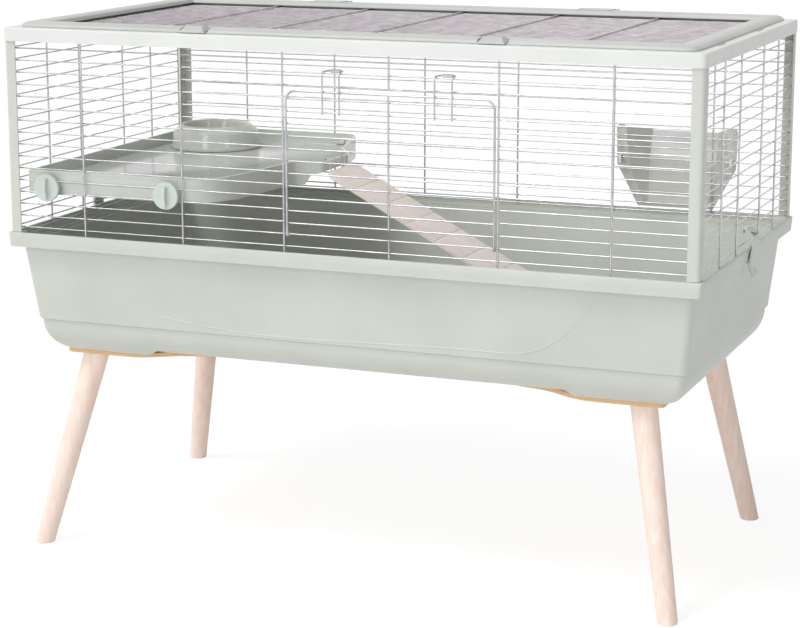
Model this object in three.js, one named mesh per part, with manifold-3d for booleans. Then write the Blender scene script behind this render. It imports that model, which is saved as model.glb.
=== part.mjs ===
// A small-animal cage on four splayed wooden legs: a deep plastic tray, a wire
// enclosure with a fold-down door and a hinged roof, a shelf with a bowl, a ramp
// and a hay rack. Millimetres, +Z up, +Y to the back, origin on the floor under
// the middle of the tray.

import * as THREE from "three";
import { mergeVertices } from "three/addons/utils/BufferGeometryUtils.js";
import Module from "manifold-3d";

const wasm = await Module();
wasm.setup();

// ---------------------------------------------------------------- dimensions

const GAP = 0.3; // clearance between pieces that touch

// tray
const RIM_HALF_X = 498.5;
const RIM_HALF_Y = 269.5;
const RIM_TOP_Z = 459;
const RIM_HEIGHT = 20.5;
const RIM_DRAFT = 1.6;
const RIM_CORNER_R = 6;
const RIM_LIP = 4.3; // width of the raised outer lip; inside it the rim steps down
const BODY_HALF_X = 484.8;
const BODY_HALF_Y = 256;
const BODY_CORNER_R = 12;
const BODY_TOP_Z = 443;
const SEAM_HALF_X = 474.6; // the walls lean in towards the seam
const SEAM_HALF_Y = 237.2;
const SEAM_Z = 331;
const SEAM_STEP = 3.3;
const SEAM_LEDGE = 2.6;
const BOTTOM_INSET = 36; // how far the rounded bottom edge draws in
const BOTTOM_CORNER_R = 20;
const MIDDLE_BOTTOM_Z = 289;
const PAD_BOTTOM_Z = 281.8; // the two ends stand lower than the middle
const PAD_INNER_X = 302;
const PAD_SLOPE_X = 14;
const TRAY_WALL = 3;
const BOSS_TOP_Z = 291.5; // screw bosses on the tray's floor, over the boards
const CORNER_SEGMENTS = 5;

// wire enclosure
const ROW_R = 0.9;
const ROW_PITCH = 16.65;
const FIRST_ROW_Z = 466.4;
const ROW_COUNT = 16;
const UPRIGHT_R = 1.3;
const WELD = 0.3; // how far crossing wires sink into each other
const LONG_UPRIGHT_Y = 262; // uprights of the front and back panels
const SIDE_UPRIGHT_X = 492.5; // uprights of the end panels
const LONG_UPRIGHTS = [-377.5, -226.5, -75.5, 75.5, 226.5, 377.5];
const SIDE_UPRIGHTS = [-156, -65.5, 65.5, 156];
const FOOT_ROW_Z = 454.5; // lowest row, hidden behind the rim's lip
const FOOT_ROW_TRIM = 11; // it stops short of the corner seats
const UPRIGHT_TOP_Z = 735;
const LONG_ROW_HALF = 486;
const SIDE_ROW_HALF = 256;
const WIRE_SIDES = 6;
const HEX_FLAT = Math.cos(Math.PI / 6); // a six-sided wire's flats lie this much nearer its middle

// posts and top frame
const POST_OUT_X = 494.5;
const POST_OUT_Y = 266.5;
const POST_WIDTH = 17;
const POST_WALL = 2;
const POST_ROUND = 6;
const TOP_FRAME_HALF_X = 496;
const TOP_FRAME_HALF_Y = 269;
const TOP_FRAME_WIDTH = 26;
const TOP_FRAME_BOTTOM_Z = 726;
const TOP_FRAME_TOP_Z = 744.5;
const SLOT_HALF = 2.4;

// roof
const LID_HALF_X = 481;
const LID_HALF_Y = 252;
const LID_WIDTH = 33;
const LID_BOTTOM_Z = 744.8;
const LID_TOP_Z = 751.3;
const LID_SKIRT_Z = 738.5;
const LID_CROSS_Z = 743;
const LID_CROSS_R = 1.4;
const LID_CROSS_X = [-302, -151, 0, 151, 302];
const LID_WIRE_COUNT = 27;
const LID_WIRE_PITCH = 16.6;
const HINGE_X = [-226, 201];
const HINGE_HALF = 25.5;
const HINGE_AXIS_Y = 258.6;
const HINGE_AXIS_Z = 748.3;
const HINGE_PIN_R = 1.5;
const TAB_X = [-210, 213];
const TAB_HALF = 20;

// door and its latches
const DOOR_LEFT_X = -70.5;
const DOOR_RIGHT_X = 221.5;
const DOOR_TOP_Z = 675;
const DOOR_WIRE_R = 1.5;
const DOOR_CORNER_R = 14;
const DOOR_ROW_DROP = 1.7;
const DOOR_FIRST_ROW = 2;
const DOOR_LAST_ROW = 12;
const LATCH_X = [-4.5, 152.5];
const LATCH_HALF = 12;
const LATCH_WIRE_R = 1.1;
const LATCH_FOOT_Z = 645.5;
const LATCH_ROW = 14;

// legs and their boards
const BOARD_TOP_Z = 281.5;
const BOARD_BOTTOM_Z = 275.5;
const BOARD_END_X = 442;
const BOARD_SHIFT_X = -8; // the two boards sit a little left of the tray's middle
const BOARD_HALF_Y = 198;
const LEG_TOP_Y = 180;
const LEG_TOP_Z = BOARD_BOTTOM_Z - GAP;
const LEGS = {
  front_left: { topX: -411, foot: [-471, -243] },
  front_right: { topX: 403, foot: [459, -243] },
  back_left: { topX: -409, foot: [-466, 240] },
  back_right: { topX: 403, foot: [455, 243] },
};
const LEG_TOP_R = 18;
const LEG_FOOT_R = 13.5;

// shelf, bowl and ramp
const SHELF_LEFT_X = -468;
const SHELF_FRONT_Y = -256.5;
const SHELF_BACK_Y = 250;
const SHELF_TOP_Z = 547;
const SHELF_FLOOR_Z = 531;
const SHELF_BOTTOM_Z = 514;
const SHELF_WALL = 3;
const SHELF_LIP_X = -112;
const KNOB_X = [-434, -249];
const KNOB_Z = FIRST_ROW_Z + 3.5 * ROW_PITCH;
const KNOB_R = 19;
const BOWL_X = -378;
const BOWL_Y = 150;
const BOWL_R = 69;
const BOWL_HEIGHT = 36;
const RAMP_END_X = -104.5;
const RAMP_END_Z = 534.4;
const RAMP_Y = -1;
const RAMP_WIDTH = 104;
const RAMP_THICK = 5;
const RAMP_CORNER_R = 14;
const RAMP_LENGTH = 535; // the foot rests on the lowered right end of the tray's floor
const RAMP_SLOPE = THREE.MathUtils.degToRad(27.76);
const RAMP_HOOK_Y = [-28, 33];
const RAMP_GROOVES = 11;
const RAMP_GROOVE_PITCH = 47;

// hay rack behind the back panel
const RACK_X = 322;
const RACK_FRONT_Y = 263.9;
const RACK_WALL = 2.5;
const WINDOW_Z = [529, 568]; // the window plate stands in the open upper half of the back
const WINDOW_GRIP_Z = 556;
const RACK_BACK_TOP_Z = 567; // the cheeks slope down to the back

// clips that hold the enclosure to the tray
const CLIP_HALF_Y = 14;
const CLIP_AXIS_Z = FIRST_ROW_Z + ROW_PITCH;

// -------------------------------------------------------------------- helpers

function solid(geometry) {
  const bare = geometry.index ? geometry.toNonIndexed() : geometry.clone();
  bare.deleteAttribute("normal");
  bare.deleteAttribute("uv");
  const merged = mergeVertices(bare, 1e-4);
  const triVerts = new Uint32Array(merged.index.array);
  const vertProperties = new Float32Array(merged.attributes.position.array);
  let made = new wasm.Manifold(new wasm.Mesh({ numProp: 3, vertProperties, triVerts }));
  if (made.volume() < 0) {
    for (let i = 0; i < triVerts.length; i += 3) {
      [triVerts[i + 1], triVerts[i + 2]] = [triVerts[i + 2], triVerts[i + 1]];
    }
    made = new wasm.Manifold(new wasm.Mesh({ numProp: 3, vertProperties, triVerts }));
  }
  return made;
}

function join(solids) {
  return solids.reduce((whole, piece) => whole.add(piece));
}

function cut(body, tools) {
  return tools.reduce((rest, tool) => rest.subtract(tool), body);
}

function geometryOf(made) {
  const mesh = made.getMesh();
  const geometry = new THREE.BufferGeometry();
  geometry.setAttribute("position", new THREE.BufferAttribute(mesh.vertProperties, 3));
  geometry.setIndex(new THREE.BufferAttribute(mesh.triVerts, 1));
  const flat = geometry.toNonIndexed();
  flat.computeVertexNormals();
  return flat;
}

function block(x0, x1, y0, y1, z0, z1) {
  const geometry = new THREE.BoxGeometry(x1 - x0, y1 - y0, z1 - z0);
  geometry.translate((x0 + x1) / 2, (y0 + y1) / 2, (z0 + z1) / 2);
  return solid(geometry);
}

// A round bar, or a cone, between two points.
function bar(from, to, radiusFrom, radiusTo = radiusFrom, sides = WIRE_SIDES) {
  const a = new THREE.Vector3(...from);
  const b = new THREE.Vector3(...to);
  const along = b.clone().sub(a);
  const geometry = new THREE.CylinderGeometry(radiusTo, radiusFrom, along.length(), sides);
  const turn = new THREE.Quaternion().setFromUnitVectors(
    new THREE.Vector3(0, 1, 0),
    along.clone().normalize(),
  );
  geometry.applyQuaternion(turn);
  geometry.translate((a.x + b.x) / 2, (a.y + b.y) / 2, (a.z + b.z) / 2);
  return solid(geometry);
}

// A wire laid through given points; each point is one step of the extrusion.
class Route extends THREE.Curve {
  constructor(points) {
    super();
    this.points = points.map((p) => new THREE.Vector3(...p));
  }
  getPoint(t, target = new THREE.Vector3()) {
    const place = t * (this.points.length - 1);
    const i = Math.min(Math.floor(place + 1e-9), this.points.length - 2);
    return target.lerpVectors(this.points[i], this.points[i + 1], place - i);
  }
  getPointAt(u, target) {
    return this.getPoint(u, target);
  }
  getTangentAt(u, target = new THREE.Vector3()) {
    const last = this.points.length - 1;
    const i = Math.round(u * last);
    const before = this.points[Math.max(i - 1, 0)];
    const here = this.points[i];
    const after = this.points[Math.min(i + 1, last)];
    const come = here.clone().sub(before).normalize();
    const go = after.clone().sub(here).normalize();
    return target.copy(come).add(go).normalize();
  }
}

function bentWire(points, radius, sides = WIRE_SIDES) {
  const section = new THREE.Shape();
  for (let i = 0; i < sides; i += 1) {
    const angle = ((i + 0.5) * 2 * Math.PI) / sides;
    const x = radius * Math.cos(angle);
    const y = radius * Math.sin(angle);
    if (i === 0) section.moveTo(x, y);
    else section.lineTo(x, y);
  }
  const extrudePath = new Route(points);
  return solid(new THREE.ExtrudeGeometry(section, { steps: points.length - 1, extrudePath }));
}

// Points of an arc in the plane of two given directions.
function arcPoints(centre, radius, fromDegrees, toDegrees, steps, place) {
  const points = [];
  for (let i = 0; i <= steps; i += 1) {
    const angle = THREE.MathUtils.degToRad(fromDegrees + ((toDegrees - fromDegrees) * i) / steps);
    points.push(place(centre[0] + radius * Math.cos(angle), centre[1] + radius * Math.sin(angle)));
  }
  return points;
}

function roundedRing(halfX, halfY, radius, z, segments = CORNER_SEGMENTS) {
  const ring = [];
  const r = Math.max(radius, 0.5);
  const corners = [
    [1, 1, 0],
    [-1, 1, 90],
    [-1, -1, 180],
    [1, -1, 270],
  ];
  for (const [sx, sy, start] of corners) {
    const place = (x, y) => new THREE.Vector3(x, y, z);
    ring.push(...arcPoints([sx * (halfX - r), sy * (halfY - r)], r, start, start + 90, segments, place));
  }
  return ring;
}

// Joins rings of equal point counts; an open stack is capped at both ends.
function loft(rings, closed = false) {
  const count = rings[0].length;
  const positions = rings.flat().flatMap((p) => [p.x, p.y, p.z]);
  const index = [];
  const last = closed ? rings.length : rings.length - 1;
  for (let r = 0; r < last; r += 1) {
    const a = r * count;
    const b = ((r + 1) % rings.length) * count;
    for (let i = 0; i < count; i += 1) {
      const j = (i + 1) % count;
      index.push(a + i, a + j, b + j, a + i, b + j, b + i);
    }
  }
  if (!closed) {
    const top = (rings.length - 1) * count;
    for (let i = 1; i < count - 1; i += 1) {
      index.push(0, i + 1, i);
      index.push(top, top + i, top + i + 1);
    }
  }
  const geometry = new THREE.BufferGeometry();
  geometry.setAttribute("position", new THREE.Float32BufferAttribute(positions, 3));
  geometry.setIndex(index);
  return solid(geometry);
}

// A frame swept round a rounded rectangle from a closed profile of [inset, z].
function frameRing(profile, halfX, halfY, radius, segments = CORNER_SEGMENTS) {
  const rings = profile.map(([inset, z]) =>
    roundedRing(halfX - inset, halfY - inset, radius - inset, z, segments),
  );
  return loft(rings, true);
}

// A flat outline in plan, raised between two heights.
function raised(shape, z0, z1, curveSegments = 8) {
  const geometry = new THREE.ExtrudeGeometry(shape, { depth: z1 - z0, bevelEnabled: false, curveSegments });
  geometry.translate(0, 0, z0);
  return solid(geometry);
}

// An outline of [x, z] points, given depth along Y.
function standing(points, y0, y1) {
  const shape = new THREE.Shape(points.map(([x, z]) => new THREE.Vector2(x, z)));
  const geometry = new THREE.ExtrudeGeometry(shape, { depth: y1 - y0, bevelEnabled: false });
  geometry.rotateX(Math.PI / 2);
  geometry.translate(0, y1, 0);
  return solid(geometry);
}

// An outline of [y, z] points, given width along X.
function lengthwise(points, x0, x1) {
  const shape = new THREE.Shape(points.map(([y, z]) => new THREE.Vector2(y, z)));
  const geometry = new THREE.ExtrudeGeometry(shape, { depth: x1 - x0, bevelEnabled: false });
  geometry.rotateX(Math.PI / 2);
  geometry.rotateZ(Math.PI / 2);
  geometry.translate(x0, 0, 0);
  return solid(geometry);
}

function turned(profile, segments, x, y, z) {
  const points = profile.map(([r, h]) => new THREE.Vector2(r, h));
  const geometry = new THREE.LatheGeometry(points, segments);
  geometry.rotateX(Math.PI / 2);
  geometry.translate(x, y, z);
  return solid(geometry);
}

function mirrorX(made) {
  return made.mirror([1, 0, 0]);
}

function mirrorY(made) {
  return made.mirror([0, 1, 0]);
}

function rowZ(i) {
  return FIRST_ROW_Z + i * ROW_PITCH;
}

// ------------------------------------------------------------------ materials

function paint(color, roughness, metalness = 0) {
  return new THREE.MeshStandardMaterial({ color, roughness, metalness });
}

const SAGE = paint("#c8d0c5", 0.45);
const PALE = paint("#dfe3de", 0.4);
const GLOSS = paint("#bec7be", 0.2);
const RACK = paint("#a0aa9e", 0.35);
const FROSTED = paint("#eef0ee", 0.5);
const WIRE = paint("#d9d9e0", 0.35, 0.6);
const STEEL = paint("#9a9ca0", 0.35, 0.9);
const BEECH = paint("#f0d9cc", 0.6);
const PLY = paint("#f0cfaa", 0.65);

// ----------------------------------------------------------------------- tray

const LOWER_HALF_X = SEAM_HALF_X - SEAM_STEP;
const LOWER_HALF_Y = SEAM_HALF_Y - SEAM_STEP;

// Rings of the tray's rounded lower part, drawn in by a wall's thickness inside.
function lowerRings(bottomZ, wall) {
  const height = SEAM_Z - SEAM_LEDGE - bottomZ;
  const rings = [];
  for (let degrees = 90; degrees >= 0; degrees -= 22.5) {
    const angle = THREE.MathUtils.degToRad(degrees);
    const drawn = 1 - Math.cos(angle);
    const inset = BOTTOM_INSET * drawn + wall;
    const corner = BODY_CORNER_R + (BOTTOM_CORNER_R - BODY_CORNER_R) * drawn;
    const z = SEAM_Z - SEAM_LEDGE - height * Math.sin(angle);
    rings.push(roundedRing(LOWER_HALF_X - inset, LOWER_HALF_Y - inset, corner - wall * 0.6, z));
  }
  return rings;
}

function trayBowl(bottomZ, wall, topZ) {
  const corner = BODY_CORNER_R - wall * 0.6;
  return loft([
    ...lowerRings(bottomZ, wall),
    roundedRing(SEAM_HALF_X - wall, SEAM_HALF_Y - wall, corner, SEAM_Z),
    roundedRing(BODY_HALF_X - wall, BODY_HALF_Y - wall, corner, BODY_TOP_Z),
    roundedRing(BODY_HALF_X - wall, BODY_HALF_Y - wall, corner, topZ),
  ]);
}

// The part of a low loft that fills only the tray's two ends.
function endPads(bottomZ, wall, inner) {
  const low = loft(lowerRings(bottomZ, wall));
  const end = standing(
    [
      [inner, SEAM_Z],
      [inner, MIDDLE_BOTTOM_Z + wall],
      [inner + PAD_SLOPE_X, PAD_BOTTOM_Z + wall],
      [inner + PAD_SLOPE_X, PAD_BOTTOM_Z - 5],
      [RIM_HALF_X, PAD_BOTTOM_Z - 5],
      [RIM_HALF_X, SEAM_Z],
    ],
    -RIM_HALF_Y,
    RIM_HALF_Y,
  );
  return low.intersect(end.add(mirrorX(end)));
}

function buildTray() {
  const rim = loft([
    roundedRing(RIM_HALF_X - RIM_DRAFT, RIM_HALF_Y - RIM_DRAFT, RIM_CORNER_R, RIM_TOP_Z - RIM_HEIGHT),
    roundedRing(RIM_HALF_X, RIM_HALF_Y, RIM_CORNER_R, RIM_TOP_Z - 2),
    roundedRing(RIM_HALF_X - 1.6, RIM_HALF_Y - 1.6, RIM_CORNER_R - 1, RIM_TOP_Z),
  ]);
  const outside = join([trayBowl(MIDDLE_BOTTOM_Z, 0, RIM_TOP_Z - 1), endPads(PAD_BOTTOM_Z, 0, PAD_INNER_X), rim]);
  const hollow = trayBowl(MIDDLE_BOTTOM_Z + TRAY_WALL, TRAY_WALL, RIM_TOP_Z + 5);
  const hollowPads = endPads(PAD_BOTTOM_Z + TRAY_WALL, TRAY_WALL, PAD_INNER_X + 2);
  const steps = RIM_STEPS.map(([inset, z]) =>
    loft([
      roundedRing(RIM_HALF_X - inset, RIM_HALF_Y - inset, 5, z, 2),
      roundedRing(RIM_HALF_X - inset, RIM_HALF_Y - inset, 5, RIM_TOP_Z + 5, 2),
    ]),
  );
  const seats = [1, -1].flatMap((sideX) => [1, -1].map((sideY) => postSeat(sideX, sideY)));
  const bosses = boardScrewPlaces().map(([x, y]) => bar([x, y, PAD_BOTTOM_Z + 1], [x, y, BOSS_TOP_Z], 7, 6, 10));
  const screwHoles = boardScrewPlaces().map(([x, y]) => bar([x, y, 270], [x, y, BOSS_TOP_Z - 2], 2.6, 2.6, 8));
  const shell = cut(outside, [hollow, hollowPads, ...steps]);
  return cut(join([shell, ...seats, ...bosses]), screwHoles);
}

// Inside its lip the rim goes down in three steps, each [inset from the outer face, height].
const RIM_STEPS = [
  [RIM_LIP, RIM_TOP_Z - 8.5],
  [RIM_LIP + 5, RIM_TOP_Z - 13],
  [RIM_LIP + 8.7, RIM_TOP_Z - 17.5],
];

// A corner of the rim left at full height for a post to stand on.
function postSeat(sideX, sideY) {
  const x0 = POST_OUT_X - POST_WIDTH - 0.5;
  const y0 = POST_OUT_Y - POST_WIDTH - 0.5;
  const seat = block(x0, RIM_HALF_X - 2.5, y0, RIM_HALF_Y - 2.5, RIM_TOP_Z - RIM_HEIGHT + 1, RIM_TOP_Z);
  const facingX = sideX < 0 ? mirrorX(seat) : seat;
  return sideY < 0 ? mirrorY(facingX) : facingX;
}

// Straight grooves in the top frame that take the heads of the four wire panels.
function wireSlots(z0, z1) {
  const y = LONG_UPRIGHT_Y - 0.7;
  const x = SIDE_UPRIGHT_X - 0.7;
  const long = block(-LONG_ROW_HALF - 1, LONG_ROW_HALF + 1, y - SLOT_HALF, y + SLOT_HALF, z0, z1);
  const side = block(x - SLOT_HALF, x + SLOT_HALF, -SIDE_ROW_HALF - 1, SIDE_ROW_HALF + 1, z0, z1);
  return [long, mirrorY(long), side, mirrorX(side)];
}

// -------------------------------------------------------- enclosure of wires

const LONG_ROW_Y = LONG_UPRIGHT_Y - UPRIGHT_R - ROW_R * HEX_FLAT + WELD;
const SIDE_ROW_X = SIDE_UPRIGHT_X - (UPRIGHT_R + ROW_R) * HEX_FLAT + WELD;
const DOOR_PLANE_Y = -LONG_ROW_Y - 2.7;

function panelRowHeights() {
  return [FOOT_ROW_Z, ...Array.from({ length: ROW_COUNT }, (_, i) => rowZ(i))];
}

function buildLongPanel(side, hasDoor) {
  const wires = [];
  const y = side * LONG_UPRIGHT_Y;
  const rowY = side * LONG_ROW_Y;
  for (const x of LONG_UPRIGHTS) {
    const split = hasDoor && x === 75.5;
    if (split) {
      wires.push(bar([x, y, FOOT_ROW_Z - 1.2], [x, y, rowZ(1) + 1], UPRIGHT_R));
      wires.push(bar([x, y, rowZ(13) - 1], [x, y, UPRIGHT_TOP_Z], UPRIGHT_R));
    } else {
      wires.push(bar([x, y, FOOT_ROW_Z - 1.2], [x, y, UPRIGHT_TOP_Z], UPRIGHT_R));
    }
  }
  panelRowHeights().forEach((z) => {
    const crossesDoor = hasDoor && z > rowZ(1) + 1 && z < rowZ(13) - 1;
    const half = z === FOOT_ROW_Z ? LONG_ROW_HALF - FOOT_ROW_TRIM : LONG_ROW_HALF;
    if (crossesDoor) {
      wires.push(bar([-LONG_ROW_HALF, rowY, z], [LONG_UPRIGHTS[2] + 0.6, rowY, z], ROW_R));
      wires.push(bar([LONG_UPRIGHTS[4] - 0.6, rowY, z], [LONG_ROW_HALF, rowY, z], ROW_R));
    } else {
      wires.push(bar([-half, rowY, z], [half, rowY, z], ROW_R));
    }
  });
  return join(wires);
}

function buildSidePanel(side) {
  const x = side * SIDE_UPRIGHT_X;
  const rowX = side * SIDE_ROW_X;
  const uprights = SIDE_UPRIGHTS.map((y) => bar([x, y, FOOT_ROW_Z - 1.2], [x, y, UPRIGHT_TOP_Z], UPRIGHT_R));
  const rows = panelRowHeights().map((z) => {
    const half = z === FOOT_ROW_Z ? SIDE_ROW_HALF - FOOT_ROW_TRIM : SIDE_ROW_HALF;
    return bar([rowX, -half, z], [rowX, half, z], ROW_R);
  });
  return join([...uprights, ...rows]);
}

function buildPost(sideX, sideY) {
  const x0 = POST_OUT_X - POST_WIDTH;
  const y0 = POST_OUT_Y - POST_WIDTH;
  const outline = new THREE.Shape();
  outline.moveTo(x0, POST_OUT_Y);
  outline.lineTo(POST_OUT_X - POST_ROUND, POST_OUT_Y);
  outline.absarc(POST_OUT_X - POST_ROUND, POST_OUT_Y - POST_ROUND, POST_ROUND, Math.PI / 2, 0, true);
  outline.lineTo(POST_OUT_X, y0);
  outline.lineTo(POST_OUT_X - POST_WALL + 0.6, y0);
  const inner = POST_ROUND - POST_WALL;
  outline.lineTo(POST_OUT_X - POST_WALL + 0.6, POST_OUT_Y - POST_ROUND);
  outline.absarc(POST_OUT_X - POST_ROUND + 0.6, POST_OUT_Y - POST_ROUND, inner, 0, Math.PI / 2, false);
  outline.lineTo(x0, POST_OUT_Y - POST_WALL);
  const post = raised(outline, RIM_TOP_Z + GAP, TOP_FRAME_BOTTOM_Z - GAP, 4);
  const turnedX = sideX < 0 ? mirrorX(post) : post;
  return sideY < 0 ? mirrorY(turnedX) : turnedX;
}

function buildTopFrame() {
  const w = TOP_FRAME_WIDTH;
  const frame = frameRing(
    [
      [0, TOP_FRAME_BOTTOM_Z],
      [0, TOP_FRAME_TOP_Z - 1.5],
      [1.5, TOP_FRAME_TOP_Z],
      [w, TOP_FRAME_TOP_Z],
      [w, TOP_FRAME_BOTTOM_Z],
    ],
    TOP_FRAME_HALF_X,
    TOP_FRAME_HALF_Y,
    9,
    4,
  );
  const ears = [];
  const bores = [];
  for (const x of HINGE_X) {
    for (const end of [-1, 1]) {
      const mid = x + end * (HINGE_HALF + 2.5);
      ears.push(block(mid - 2, mid + 2, HINGE_AXIS_Y - 4, HINGE_AXIS_Y + 4, TOP_FRAME_TOP_Z - 1, HINGE_AXIS_Z + 3.6));
    }
    bores.push(hingeBar(x, HINGE_HALF + 10, HINGE_PIN_R + GAP + 0.15));
  }
  const catches = [-147, 75].flatMap((y) => [
    block(483, 487, y - 22, y + 22, TOP_FRAME_TOP_Z - 3, TOP_FRAME_TOP_Z + 2),
    block(-487, -483, y - 22, y + 22, TOP_FRAME_TOP_Z - 3, TOP_FRAME_TOP_Z + 2),
  ]);
  const slots = wireSlots(TOP_FRAME_BOTTOM_Z - 2, TOP_FRAME_BOTTOM_Z + 11);
  return cut(cut(join([frame, ...ears]), slots), [...bores, ...catches]);
}

function hingeBar(x, half, radius) {
  return bar([x - half, HINGE_AXIS_Y, HINGE_AXIS_Z], [x + half, HINGE_AXIS_Y, HINGE_AXIS_Z], radius, radius, 10);
}

// ------------------------------------------------------------------------ roof

function buildLidFrame() {
  const w = LID_WIDTH;
  const grooveTop = LID_CROSS_Z + LID_CROSS_R + GAP;
  const grooveBottom = LID_CROSS_Z - LID_CROSS_R - GAP;
  const frame = frameRing(
    [
      [0, LID_BOTTOM_Z],
      [0.6, LID_BOTTOM_Z + 2.2],
      [3.5, LID_TOP_Z - 1.6],
      [8.5, LID_TOP_Z],
      [w - 6, LID_TOP_Z],
      [w - 1.5, LID_TOP_Z - 1.8],
      [w, grooveTop + 1],
      [w, grooveTop],
      [w - 13, grooveTop],
      [w - 13, grooveBottom],
      [w, grooveBottom],
      [w, LID_SKIRT_Z],
      [14, LID_SKIRT_Z],
      [14, LID_BOTTOM_Z],
    ],
    LID_HALF_X,
    LID_HALF_Y,
    15,
    4,
  );
  const strapBeds = HINGE_X.map((x) =>
    block(x - HINGE_HALF - GAP, x + HINGE_HALF + GAP, 226, 256, LID_TOP_Z - 2.2, LID_TOP_Z + 3),
  );
  const tabBeds = TAB_X.map((x) =>
    block(x - TAB_HALF - 1, x + TAB_HALF + 1, -256, -234, LID_BOTTOM_Z + 1.6, LID_TOP_Z + 3),
  );
  return cut(frame, [...strapBeds, ...tabBeds]);
}

function buildLidGrid() {
  const crossHalf = LID_HALF_Y - LID_WIDTH + 12;
  const wireHalf = LID_HALF_X - LID_WIDTH - 0.8;
  const wireZ = LID_CROSS_Z - LID_CROSS_R - ROW_R + WELD; // the long wires hang under the cross wires
  const wires = LID_CROSS_X.map((x) => bar([x, -crossHalf, LID_CROSS_Z], [x, crossHalf, LID_CROSS_Z], LID_CROSS_R));
  for (let i = 0; i < LID_WIRE_COUNT; i += 1) {
    const y = (i - (LID_WIRE_COUNT - 1) / 2) * LID_WIRE_PITCH;
    wires.push(bar([-wireHalf, y, wireZ], [wireHalf, y, wireZ], ROW_R));
  }
  return join(wires);
}

function buildHingeStrap(x) {
  const bedZ = LID_TOP_Z - 2.2 + GAP;
  const strap = block(x - HINGE_HALF, x + HINGE_HALF, 226 + GAP, HINGE_AXIS_Y, bedZ, LID_TOP_Z + 0.8);
  const knuckle = hingeBar(x, HINGE_HALF, 3.3);
  const bore = hingeBar(x, HINGE_HALF + 5, HINGE_PIN_R + GAP + 0.15);
  return join([strap, knuckle]).subtract(bore);
}

function buildLidTab(x) {
  const seat = LID_BOTTOM_Z + 1.6 + GAP;
  const outline = [
    [-234.4, seat],
    [-234.4, LID_TOP_Z],
    [-238, LID_TOP_Z + 2.4],
    [-246, LID_TOP_Z + 2.8],
    [-252, LID_TOP_Z + 1],
    [-257.5, LID_BOTTOM_Z + 3.2],
    [-258.5, LID_BOTTOM_Z + 0.4],
    [-254.6, LID_BOTTOM_Z + 0.4],
    [-252.6, seat],
  ];
  const tab = lengthwise(outline, x - TAB_HALF, x + TAB_HALF);
  const slope = standing(
    [
      [x - TAB_HALF, LID_BOTTOM_Z],
      [x - TAB_HALF + 9, LID_TOP_Z + 4],
      [x + TAB_HALF - 9, LID_TOP_Z + 4],
      [x + TAB_HALF, LID_BOTTOM_Z],
    ],
    -262,
    -230,
  );
  return tab.intersect(slope);
}

// -------------------------------------------------------------- door, latches

function buildDoor() {
  const y = DOOR_PLANE_Y;
  const top = DOOR_TOP_Z;
  const r = DOOR_CORNER_R;
  const axis = [-LONG_ROW_Y, rowZ(1)];
  const curl = (x) => arcPoints(axis, 2.7, 180, 400, 9, (py, pz) => [x, py, pz]);
  const leftCorner = arcPoints([DOOR_LEFT_X + r, top - r], r, 180, 90, 4, (px, pz) => [px, y, pz]);
  const rightCorner = arcPoints([DOOR_RIGHT_X - r, top - r], r, 90, 0, 4, (px, pz) => [px, y, pz]);
  const route = [...curl(DOOR_LEFT_X).reverse(), ...leftCorner, ...rightCorner, ...curl(DOOR_RIGHT_X)];
  const wires = [bentWire(route, DOOR_WIRE_R, 8)];
  const rowY = y + DOOR_WIRE_R + ROW_R - WELD;
  for (let i = DOOR_FIRST_ROW; i <= DOOR_LAST_ROW; i += 1) {
    const z = rowZ(i) - DOOR_ROW_DROP;
    wires.push(bar([DOOR_LEFT_X - 0.8, rowY, z], [DOOR_RIGHT_X + 0.8, rowY, z], ROW_R));
  }
  const middle = (DOOR_LEFT_X + DOOR_RIGHT_X) / 2;
  const footZ = rowZ(DOOR_FIRST_ROW) - DOOR_ROW_DROP - 1;
  wires.push(bar([middle, y, footZ], [middle, y, top], UPRIGHT_R));
  return join(wires);
}

function buildLatch(x) {
  const out = -266;
  const over = rowZ(LATCH_ROW) + ROW_R + LATCH_WIRE_R + 0.35;
  const half = LATCH_HALF;
  const inside = -LONG_ROW_Y + 11.5;
  const leg = (side) => [
    [x + side * half, out, LATCH_FOOT_Z],
    [x + side * half, out, over - 4],
    [x + side * half, out + 1.2, over - 1.2],
    [x + side * half, out + 4, over],
    [x + side * (half - 0.5), inside - 4, over],
    [x + side * (half - 1.7), inside - 1.2, over],
    [x + side * (half - 4.5), inside, over],
  ];
  return bentWire([...leg(-1), ...leg(1).reverse()], LATCH_WIRE_R);
}

function buildLatchGrip(x) {
  const over = rowZ(LATCH_ROW) + ROW_R + LATCH_WIRE_R + 0.35;
  const y = -LONG_ROW_Y + 11.5;
  const sleeve = bar([x - 7, y, over], [x + 7, y, over], 2.3, 2.3, 10);
  return sleeve.subtract(bar([x - 9, y, over], [x + 9, y, over], LATCH_WIRE_R + 0.25, LATCH_WIRE_R + 0.25, 8));
}

// ------------------------------------------------------------ clips on the rim

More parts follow.
